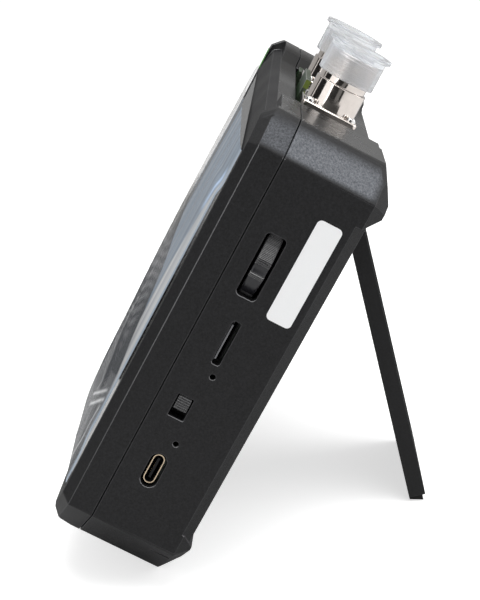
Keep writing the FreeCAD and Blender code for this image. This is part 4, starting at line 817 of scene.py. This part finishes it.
# %% ports
PITCH = 25.4 / 24.0
GROOVE, RUN_OUT = 0.45, 0.35
FLANGE, BARREL, NECK, THREAD = 2.0, 7.5, 2.3, 7.1
BARREL_RADIUS, NECK_RADIUS, THREAD_RADIUS, BORE_RADIUS = 7.85, 7.2, 7.9, 4.5
CHAMFER = 0.25


def thread_loops(radius, low, high, middle):
    """Loops of a screw: the radius drops by a rounded groove that repeats along height plus angle,
    and the groove fades out over half a turn at both ends."""
    height = np.linspace(low, high, int((high - low) / PITCH * 12))[:, None]
    turn = full_turn(96)[None, :]
    phase = height / PITCH + turn / (2.0 * np.pi)
    groove = 0.5 - 0.5 * np.cos(2.0 * np.pi * phase)
    fade = np.clip(np.minimum(height - low, high - height) / (0.5 * PITCH), 0.0, 1.0)
    out = radius - GROOVE * groove ** 1.5 * fade - RUN_OUT * (1.0 - fade)
    return ring_points(out, height, turn, middle)


for number in (1, 2):
    node = f"port_{number}_connector"
    low, high, middle, half = upright_box(node)
    top = high[2]
    seat = top - THREAD - NECK - BARREL - FLANGE
    outline = round_square(half[0], half[0], 1.3)
    inner = round_square(half[0] - CHAMFER, half[0] - CHAMFER, 1.05)
    plate = [(inner, 0.0), (outline, CHAMFER), (outline, FLANGE - CHAMFER), (inner, FLANGE)]
    flange = np.stack([
        np.column_stack([loop + middle[:2], np.full(len(loop), seat + rise)])
        for loop, rise in plate
    ])
    shoulder = seat + FLANGE + BARREL
    barrel = circle_loops(round_profile([
        (BARREL_RADIUS, seat + FLANGE - 0.4), (BARREL_RADIUS, shoulder), (NECK_RADIUS, shoulder),
        (NECK_RADIUS, shoulder + NECK - 0.02), (7.45, shoulder + NECK),
    ], 0.3), middle)
    screw = thread_loops(THREAD_RADIUS, shoulder + NECK, top - CHAMFER, middle)
    mouth = circle_loops(round_profile([
        (7.5, top - CHAMFER), (7.3, top), (BORE_RADIUS, top), (BORE_RADIUS, top - 9.9),
        (3.52, top - 9.95),
    ], 0.15), middle)
    stub = circle_loops([(4.65, low[2]), (4.68, low[2] + 0.1), (4.68, seat + 0.2)], middle, 48)
    stack_mesh(f"port_{number}_body", [flange, np.concatenate([barrel, screw, mouth]), stub],
               nickel, "case", [node], "nickel", 35.0)

# %% [markdown]
# ## Screws that hold the flanges
# A small pan-head screw is a dome with a cross pressed into it. The head is a stack of rings whose
# height grows up to the rim and then over the dome, and wherever a point of the dome is within a
# cross-shaped region it drops to the bottom of the recess, with sloping sides.


# %% flange screws
HEAD_RADIUS, HEAD_TALL = 1.4, 1.1
RIM_ROWS = [(1.0, 0.0), (1.0, 0.55), (0.97, 0.72), (0.9, 0.86), (0.8, 0.94)]
DOME_SHARES = (0.68, 0.6, 0.5, 0.42, 0.34, 0.27, 0.2, 0.12, 0.05)
ARM_HALF, ARM_REACH, ARM_SLOPE, RECESS = 0.24, 0.64, 0.08, 0.5
CROSS_TURNS = (0.3, 1.1, 0.7, 1.4)


def screw_head(middle, seat, turn_by):
    """Loops of a pan head with a cross recess: rings of growing height up to the rim, then a dome,
    lowered wherever a point is within the cross. Its arms are shares of the head's radius."""
    turn = full_turn(48)
    loops = []
    for share, rise in RIM_ROWS + [(share, 0.94 + 0.06 * (1.0 - share / 0.8))
                                   for share in DOME_SHARES]:
        x, y = share * np.cos(turn), share * np.sin(turn)
        along = np.abs(x * math.cos(turn_by) + y * math.sin(turn_by))
        across = np.abs(y * math.cos(turn_by) - x * math.sin(turn_by))
        depth = (np.clip((ARM_HALF - np.minimum(along, across)) / ARM_SLOPE, 0.0, 1.0)
                 * np.clip((ARM_REACH - np.maximum(along, across)) / ARM_SLOPE, 0.0, 1.0))
        level = rise - RECESS * depth * (share < 0.79)
        loops.append(np.stack([middle[0] + HEAD_RADIUS * x, middle[1] + HEAD_RADIUS * y,
                               seat + HEAD_TALL * level], -1))
    return np.array(loops)


for number in (1, 2):
    node = f"port_{number}_flange_screws"
    low, high, _, _ = upright_box(node)
    near, far = low[:2] + HEAD_RADIUS, high[:2] - HEAD_RADIUS
    centres = [(x, y) for x in (near[0], far[0]) for y in (near[1], far[1])]
    heads = []
    for centre, turn_by in zip(centres, CROSS_TURNS):
        heads.append(screw_head(centre, high[2] - HEAD_TALL, turn_by * number))
        heads.append(circle_loops([(0.8, low[2]), (0.8, high[2] - 1.0)], centre, 24))
    stack_mesh(f"port_{number}_screws", heads, screw_steel, "case", [node], "steel", 30.0)

# %% [markdown]
# ## Dust caps
# A dust cap is a thin cup with a wide brim and a dished top. It is one lathe profile that goes up
# the outside, over the brim, into the dish, and the cup's hollow is a second pass down the inside:
# the profile starts and ends on the axis, so the wall has its true thickness.

# %% caps
CAP_BORE, CAP_OUT, BRIM_TALL = 8.0, 8.65, 1.3
DISH, DISH_FLOOR = 0.9, 1.8

for number in (1, 2):
    node = f"port_{number}_cap"
    low, high, middle, half = upright_box(node)
    bottom, top, brim = low[2], high[2], half[0]
    roof = top - DISH - DISH_FLOOR
    profile = [
        (0.0001, roof), (CAP_BORE, roof), (CAP_BORE, bottom), (CAP_OUT, bottom),
        (8.62, top - BRIM_TALL), (brim, top - BRIM_TALL), (brim, top), (7.25, top),
        (7.05, top - DISH), (0.0001, top - DISH),
    ]
    loops = circle_loops(round_profile(profile, 0.28), middle)
    stack_mesh(f"port_{number}_dust_cap", [loops], cap_plastic, f"cap_{number}", [node],
               "clear_cap", 35.0)

# %% [markdown]
# ## The jog wheel
# Only a slice of the wheel shows, and that slice is all grip: fine ribs at one end, then two thick
# ridges either side of a smooth hollow for the fingertip. The rim's radius is a function of the
# angle, and its corners are rounded across the width.


# %% jog wheel
RIB_EVERY = 1.75
RIDGES = ((7.0, 0.8), (4.4, 0.8), (-11.0, 0.6), (-13.4, 0.6))
GROOVES = (5.7, 8.4, 3.0, -9.8, -12.2, -14.6)
RIM_SECTION = [(-1.0, -0.5), (-0.93, -0.22), (-0.8, -0.06), (-0.6, 0.0), (0.6, 0.0),
               (0.8, -0.06), (0.93, -0.22), (1.0, -0.5)]
HUB_INSET = 2.6


def jog_drop(degrees):
    """How far the rim lies below its full radius at an angle: fine ribs above and below, and
    ridges beside a smooth hollow in the middle."""
    ribbed = ((degrees > 9.0) & (degrees < 75.0)) | ((degrees < -40.0) & (degrees > -75.0))
    ribs = 0.16 * (0.5 + 0.5 * np.cos(degrees / RIB_EVERY * 2.0 * np.pi))
    drop = np.where(ribbed, ribs, 0.1)
    for centre, width in RIDGES:
        drop = np.where(np.abs(degrees - centre) < width, 0.0, drop)
    for centre in GROOVES:
        drop = np.where(np.abs(degrees - centre) < 0.5, 0.34, drop)
    hollow = (degrees < 2.5) & (degrees > -9.3)
    return np.where(hollow, 0.22 + 0.14 * np.sin((degrees - 2.5) / 11.8 * np.pi) ** 2, drop)


_, _, middle, half = upright_box("jog_wheel")
degrees = np.linspace(-180.0, 180.0, 1080, endpoint=False)
turn = np.radians(degrees)
rim = half[0] - jog_drop(degrees)
hub = np.full_like(rim, half[0] - HUB_INSET)
section = [(-1.0, hub)] + [(across, rim + inset) for across, inset in RIM_SECTION] + [(1.0, hub)]
rings = np.array([
    np.stack([middle[0] + out * np.cos(turn), np.full_like(turn, middle[1] - across * half[1]),
              middle[2] + out * np.sin(turn)], -1)
    for across, out in section
])
stack_mesh("jog_rim", [rings], knob_plastic, "jog_thumbwheel", ["jog_wheel"], "black_plastic",
           28.0)

# %% [markdown]
# ## The power switch knob
# The knob is a small block with sharp ribs across its face for a fingernail. Its loops are rounded
# rectangles stacked along the direction it slides in, and each loop reaches out as far as the rib
# pattern says there.

# %% power knob
RIB_WAVES, RIB_TALL, RIB_FOOT = 6.0, 0.34, 0.62

low, high, middle, half = upright_box("power_knob")
levels = np.linspace(low[2], high[2], 90)
share = (levels - low[2]) / (high[2] - low[2])
wave = np.sin(share * RIB_WAVES * 2.0 * np.pi - 0.5 * np.pi)
ribs = np.clip(wave * 3.0 + 0.6, -1.0, 1.0) * 0.5 + 0.5
crown = 0.25 * np.sin(np.clip(share, 0.0, 1.0) * np.pi)
reach = high[0] - RIB_FOOT + crown + RIB_TALL * ribs * (share > 0.06) * (share < 0.94)
loops = []
for level, top in zip(levels, reach):
    outline = round_square((top - low[0]) / 2.0, half[1], 0.22, 40)
    loops.append(np.stack([outline[:, 0] + (top + low[0]) / 2.0, outline[:, 1] + middle[1],
                           np.full(40, level)], -1))
stack_mesh("power_slider", [np.array(loops)], knob_plastic, "switch_knob", ["power_knob"],
           "black_plastic", 30.0)

# %% [markdown]
# ## Contacts of the USB-C tongue
# The plastic tongue carries a row of flat gold contacts on both faces. Each is a thin rounded
# block, a few hundredths proud, and all of them are one object.

# %% tongue contacts
CONTACT_STEP = 0.26

_, high, middle, half = upright_box("usb_c_tongue")
pads = []
for face in (-1, 1):
    for step in range(-5, 6, 2):
        at = np.array([middle[1] + face * half[1], middle[2] + step * CONTACT_STEP])
        outline = round_square(0.04, 0.13, 0.03, 16) + at
        pads.append(np.stack([
            np.column_stack([np.full(16, x), outline]) for x in (high[0] - 4.0, high[0] - 0.4)
        ]))
stack_mesh("tongue_contacts", pads, gold, "case", (), "gold", 30.0)


# %% [markdown]
# ## The loose protective film
# The display still wears its shipping film, which has come off the glass and bulges. It is one
# sheet: a broad arch over the glass, long creases that run up it, and a comb of short wrinkles
# along the lower left, where the slack has gathered. All are heights added on one grid.

# %% folds of the film
FILM_LOW, FILM_TALL = 17.0, 102.5
WRINKLE_EVERY, CREASE_WIDTH = 2.0, 0.55


def smooth(value, start, end):
    """A mask that goes smoothly from 0 at one value to 1 at another."""
    share = np.clip((value - start) / (end - start), 0.0, 1.0)
    return share * share * (3.0 - 2.0 * share)


def mound(value, middle, width):
    """A mask that is 1 at one value and falls off like a bell on both sides."""
    return np.exp(-((value - middle) / width) ** 2)


def comb(x, z):
    """Short wrinkles that run across, 0 to 1: the distance up the film, slanted by a third of x."""
    wander = 0.9 * np.sin(x / 11.0 + 1.0) + 0.7 * np.sin(z / 4.3) + 0.5 * np.sin(z / 1.7 + x / 23.0)
    return np.abs(np.sin((z - 0.33 * x + wander) / WRINKLE_EVERY * np.pi)) ** 0.7


def gathered(x, z):
    """A mask of the lower left, where the slack has gathered in short wrinkles."""
    return smooth(x, 12.0, -14.0) * smooth(x, -75.0, -50.0) * smooth(z, 48.0, 36.0)


def film_height(x, z, half, lift):
    """Distance of the film from the glass: a flattened arch and a lower bulge, less the creases,
    the broad folds and the wrinkles."""
    across = np.clip(1.0 - (x / half) ** 2, 0.0, 1.0)
    up = np.clip((z - FILM_LOW) / FILM_TALL, 0.0, 1.0)
    arch = lift * across ** 0.75 * (0.60 + 0.40 * np.sin(np.pi * np.clip(up * 0.8 + 0.1, 0, 1)))
    bulge = 0.9 * mound(x, 20.0, 40.0) * smooth(z, 36.0, 22.0)
    wrinkles = 0.5 * (1.0 - comb(x, z)) * gathered(x, z) * across
    creases = 0.4 * np.abs(np.sin(x / 19.0 + z / 63.0)) ** 0.5 * smooth(x, 20.0, 50.0) * across
    broad = smooth(x, 58.0, 30.0) * smooth(z, 84.0, 72.0) * smooth(z, 36.0, 46.0)
    folds = 0.12 * (1.0 - comb(x * 0.45, z * 0.45)) * broad
    return arch + bulge - wrinkles - creases - folds


def crease(x, z, start, end):
    """A mask round a straight fold between two points of the film."""
    (x0, z0), (x1, z1) = start, end
    length = math.hypot(x1 - x0, z1 - z0)
    along = ((x - x0) * (x1 - x0) + (z - z0) * (z1 - z0)) / length
    aside = ((x - x0) * (z1 - z0) - (z - z0) * (x1 - x0)) / length
    ends = smooth(along, -2.0, 1.0) * smooth(along, length + 2.0, length - 1.0)
    return mound(aside, 0.0, CREASE_WIDTH) * ends


# %% [markdown]
# ## What the film shows
# A film shows what it reflects and what is behind it, and both change from fold to fold. Its
# reflections, highlights and shade are painted: a colour for each point, and how much it covers,
# is worked out from the same folds: each entry of the list is laid over the ones before it by its
# mask. Seen from the front the film is nearly clear, and the Layer Weight node in its material
# lets the painted colour come in edge-on.

# %% painted light of the film
# painted reflections, highlights and shade of the film: a colour and a cover for each
FIELD, FIELD_LINE = (0.29, 0.35, 0.42, 0.80), (0.55, 0.54, 0.53, 0.85)
FIELD_END = ((60.0, 66.0, 74.0, 79.0, 90.0, 120.0), (84.0, 66.0, 56.0, 36.0, 4.0, 2.0))
SLACK_PAINTED_GREY, FOLD_HIGHLIGHT = (0.125, 0.130, 0.138, 0.72), (0.30, 0.30, 0.31, 0.62)
DARK_LINE, FAR_BAND = (0.010, 0.010, 0.010, 1.0), (0.56, 0.54, 0.52, 0.22)
WRINKLE_HIGHLIGHT, CREASE_HIGHLIGHT = (0.62, 0.62, 0.63, 0.60), (0.72, 0.72, 0.72, 0.92)
NEAR_BAND, NEAR_EDGE = (0.66, 0.66, 0.655, 0.92), (0.36, 0.44, 0.54, 0.90)
NEAR_START = ((17.0, 40.0, 50.0, 62.0, 80.0, 100.0, 106.0, 119.0),
              (85.4, 85.2, 82.0, 68.5, 70.0, 78.0, 82.0, 85.0))
GLINT = (0.60, 0.76, 1.0, 0.95)
THIN_LINES = ((62.0, 0.10, 0.7), (47.0, -0.08, 1.0), (30.0, 0.15, 1.3), (17.0, 0.0, 1.2))
CREASES = (((79.0, 38.0), (70.0, 17.0)), ((78.0, 43.0), (42.0, 26.0)),
           ((80.0, 41.0), (48.0, 25.0)))


def film_painted_light(x, z):
    """Painted light of each point, as colour and cover: a blue-grey reflected field with pale
    reflected lines, a pale band along the right side that widens in the middle, a pale far band
    behind a dark line, grey slack with painted highlights on its folds, wrinkles and creases, and a
    glint."""
    upper = smooth(z, 62.0, 80.0)
    slack = smooth(x, np.interp(z, *FIELD_END) + 3.0, np.interp(z, *FIELD_END) - 4.0)
    lines = sum(mound(x, at + slope * (z - 90.0), width) for at, slope, width in THIN_LINES)
    near = np.interp(z, *NEAR_START)
    painted_light = np.broadcast_to(np.array(FIELD), x.shape + (4,))
    for colour, mask in (
        (SLACK_PAINTED_GREY, slack),
        (FOLD_HIGHLIGHT, slack * comb(x * 0.45, z * 0.45) ** 2 * smooth(z, 84.0, 72.0)
         * smooth(z, 40.0, 52.0) * smooth(x, 62.0, 48.0)),
        (DARK_LINE, mound(x, 16.0, 6.0) * upper),
        (FAR_BAND, smooth(x, 9.0, 2.0) * upper),
        (WRINKLE_HIGHLIGHT, gathered(x, z) * comb(x, z) ** 5),
        (FIELD_LINE, np.clip(lines, 0.0, 1.0) * (1.0 - slack) * 0.55),
        (NEAR_BAND, smooth(x, near - 2.5, near + 2.0) * 0.9),
        (NEAR_EDGE, smooth(x, 84.0, 84.8)),
        (GLINT, mound(x, 78.0 + 0.35 * (z - 106.0), 2.2) * smooth(z, 97.0, 102.0)
         * smooth(z, 114.0, 110.0)),
        *((CREASE_HIGHLIGHT, crease(x, z, start, end)) for start, end in CREASES),
    ):
        painted_light = painted_light + (np.array(colour) - painted_light) * mask[..., None]
    return painted_light


# %% [markdown]
# ## The sheet itself
# The grid's rows lie closer where the wrinkles are. The sheet has a true thickness, and along its
# right side it folds down to the glass: the gap under it is painted dark as shade, and the pale
# line of its own edge is a painted highlight.
# The pull tab is a rounded rectangle that lifts a little towards its free end.

# %% film and pull tab
EDGE_STEPS = np.array([0.10, 0.07, 0.04, 0.02, 0.0])
EDGE_DEPTH = np.array([0.86, 0.80, 0.40, 0.34, 0.08])
# painted shade in the gap under the folded edge, and painted highlights on the film's edges
EDGE_GAP_SHADE, EDGE_HIGHLIGHT = [0.003, 0.003, 0.003, 1.0], [0.50, 0.485, 0.465, 1.0]
EDGE_PAINTED_LIGHT = np.array([[0.66, 0.67, 0.68, 1.0], EDGE_GAP_SHADE, EDGE_GAP_SHADE, EDGE_HIGHLIGHT, EDGE_HIGHLIGHT])
SIDE_RISE, DENSE_BELOW = 0.52, 50.0

low, high, _, (half, _, _) = upright_box("protective_film")
columns = np.linspace(-half, half - 0.3, 150)
rows = np.concatenate([np.linspace(low[2], DENSE_BELOW, 115, endpoint=False),
                       np.linspace(DENSE_BELOW, high[2], 80)])
x, z = np.meshgrid(columns, rows)
raised = SIDE_RISE * smooth(z, 24.0, 34.0) * smooth(z, 110.0, 106.0)
lifted = np.maximum(film_height(x, z, half, -low[1] - 0.15), 0.0)
outer = np.stack([x, -0.3 - lifted - raised * smooth(x, 30.0, 84.0), z], -1)
edge_deep = 0.08 + (EDGE_DEPTH - 0.08) * (0.3 + 0.7 * raised[:, -1:] / SIDE_RISE)
edge_x = np.broadcast_to(half - EDGE_STEPS, edge_deep.shape)
edge = np.stack([edge_x, -edge_deep, np.broadcast_to(rows[:, None], edge_deep.shape)], -1)
outer = np.concatenate([outer, edge], 1)
edge_painted_light = np.broadcast_to(EDGE_PAINTED_LIGHT, (len(rows), *EDGE_PAINTED_LIGHT.shape))
painted_light = np.concatenate([film_painted_light(x, z), edge_painted_light], 1).reshape(-1, 4)

up, across = outer.shape[:2]
at_side = np.linspace(0.0, 1.0, across)[None, :, None] ** 40
inner = outer + np.array([-0.06, 0.10, 0.0]) * at_side
inner = inner + np.array([0.0, 0.12, 0.0]) * (1.0 - at_side)
points = np.concatenate([outer.reshape(-1, 3), inner.reshape(-1, 3)])
count = across * up
row = np.arange(up - 1)[:, None] * across
step = np.arange(across - 1)[None, :]
face = np.stack([row + step, row + step + 1, row + across + step + 1, row + across + step], -1)
face = face.reshape(-1, 4)
border = np.concatenate([
    np.arange(across), np.arange(1, up) * across + across - 1,
    (up - 1) * across + np.arange(across - 2, -1, -1), np.arange(up - 2, 0, -1) * across,
])
following = np.roll(border, -1)
rim = np.stack([border, border + count, following + count, following], -1)
faces = face.tolist() + (face[:, ::-1] + count).tolist() + rim.tolist()
film = finished("loose_film", points, faces, clear_film, "case", ["protective_film"], "film", 80.0)
painted_light_attribute = film.data.attributes.new("film_painted_light", "FLOAT_COLOR", "POINT")
painted_light_attribute.data.foreach_set("color", np.concatenate([painted_light, painted_light]).ravel())

low, high, middle, half = upright_box("film_pull_tab")
at = round_square(half[0], half[2], 0.8, 32) * np.array([1.0, -1.0]) + middle[[0, 2]]
lift = 0.05 * np.clip((at[:, 1] - low[2]) / (high[2] - low[2]), 0.0, 1.0)
loops = np.array([np.stack([at[:, 0], high[1] - depth - lift, at[:, 1]], -1)
                  for depth in (0.06, 0.2)])
stack_mesh("green_pull_tab", [loops[:, ::-1]], green_film, "case", ["film_pull_tab"],
           "green_film", 60.0)

# %% [markdown]
# ## The studio
# The object stands on a pale table. The background is white because camera rays see it so: the
# Light Path node tells which rays come from the camera, a reflection or through glass, and only
# those see the brighter value, so the light that falls on the object stays soft.

# %% floor and world
WHITE, BLACK = (1.0, 1.0, 1.0, 1.0), (0.0, 0.0, 0.0, 1.0)


def add_sheet(name, corners, material):
    """A flat sheet of one face."""
    mesh = bpy.data.meshes.new(name)
    mesh.from_pydata(corners, [], [(0, 1, 2, 3)])
    mesh.materials.append(material)
    return add_object(name, mesh)


world = bpy.data.worlds.new("studio")
bpy.context.scene.world = world
world.use_nodes = True
tree = world.node_tree
path = add_node(tree, "ShaderNodeLightPath").outputs
seen = maths("MAXIMUM", path["Is Camera Ray"], path["Is Glossy Ray"])
seen = maths("MAXIMUM", seen, path["Is Transmission Ray"])
fill(tree.nodes["Background"], Color=WHITE, Strength=scaled(seen, 0.50, 0.50))

floor_paper, tree, shader = new_material(
    "floor paper", Roughness=0.9, Base_Color=(0.82, 0.82, 0.82, 1.0), Emission_Color=WHITE)
path = add_node(tree, "ShaderNodeLightPath").outputs
fill(shader, Emission_Strength=times(path["Is Camera Ray"], 0.62))
FLOOR_REACH = 3.0
floor = add_sheet("floor", [(side * FLOOR_REACH, deep * FLOOR_REACH, 0.0)
                            for side, deep in ((-1, -1), (1, -1), (1, 1), (-1, 1))], floor_paper)
floor.location.z = -0.0002
print("floor", FLOOR_REACH * 2.0, "m wide")


# %% [markdown]
# ## Lamps and cards
# A broad lamp above and one behind give the bevels their glow, and the near side stays dark, as
# black plastic does. Cards that only reflections see give the glass, the film and the turned metal
# something to show: a bright one for the white streak of a barrel, dark ones for its edges.

# %% lamps and cards
def lamp(name, at, size, energy):
    """A rectangular area lamp that faces the middle of the object."""
    data = bpy.data.lights.new(name, "AREA")
    data.shape = "RECTANGLE"
    data.size, data.size_y = size
    data.energy = energy
    holder = add_object(name, data)
    holder.location = at
    facing = Vector((0.0, 0.0, 0.07)) - Vector(at)
    holder.rotation_euler = facing.to_track_quat("-Z", "Y").to_euler()


def card(name, start, end, level, high=0.9):
    """A card with a set glow that only reflections see, upright between two points of the floor.

    With a height of zero it lies on the floor, and the two points are opposite corners.
    """
    (x0, y0), (x1, y1) = start, end
    corners = [(x0, y0, 0.0), (x1, y1, 0.0), (x1, y1, high), (x0, y0, high)]
    if not high:
        corners = [(x0, y0, 0.0006), (x1, y0, 0.0006), (x1, y1, 0.0006), (x0, y1, 0.0006)]
    glow, _, _ = new_material(name, Roughness=1.0, Specular_IOR_Level=0.0, Base_Color=BLACK,
                              Emission_Color=WHITE, Emission_Strength=level)
    sheet = add_sheet(name, corners, glow)
    for kind in ("camera", "diffuse", "shadow", "transmission", "volume_scatter"):
        setattr(sheet, "visible_" + kind, False)


card("front card", (0.50, -0.263), (0.50, 0.169), 0.025)
card("front strip", (0.495, -0.010), (0.495, 0.100), 0.20)
card("bright card", (1.06, -0.60), (0.288, -0.60), 1.35)
card("left card", (0.288, -0.60), (-0.13, -0.60), 0.02)
card("left strip", (-0.19, -0.60), (-0.35, -0.60), 0.02)
card("left end", (-0.41, -0.60), (-0.80, -0.60), 0.02)
card("far card", (-0.30, -0.59), (-0.30, 0.60), 0.46, high=0.42)
card("far floor", (-0.299, -0.60), (-0.104, 0.12), 0.06, high=0.0)
lamp("top lamp", (0.15, 0.1, 0.9), (0.7, 0.7), 6.0)
lamp("back lamp", (-0.2, 0.9, 0.5), (0.6, 0.5), 3.0)
lamp("side lamp", (0.9, -0.5, 0.45), (0.5, 0.5), 1.5)
bpy.context.scene.view_settings.view_transform = "Standard"
print("lamps and cards:", len(bpy.data.lights), "lamps")
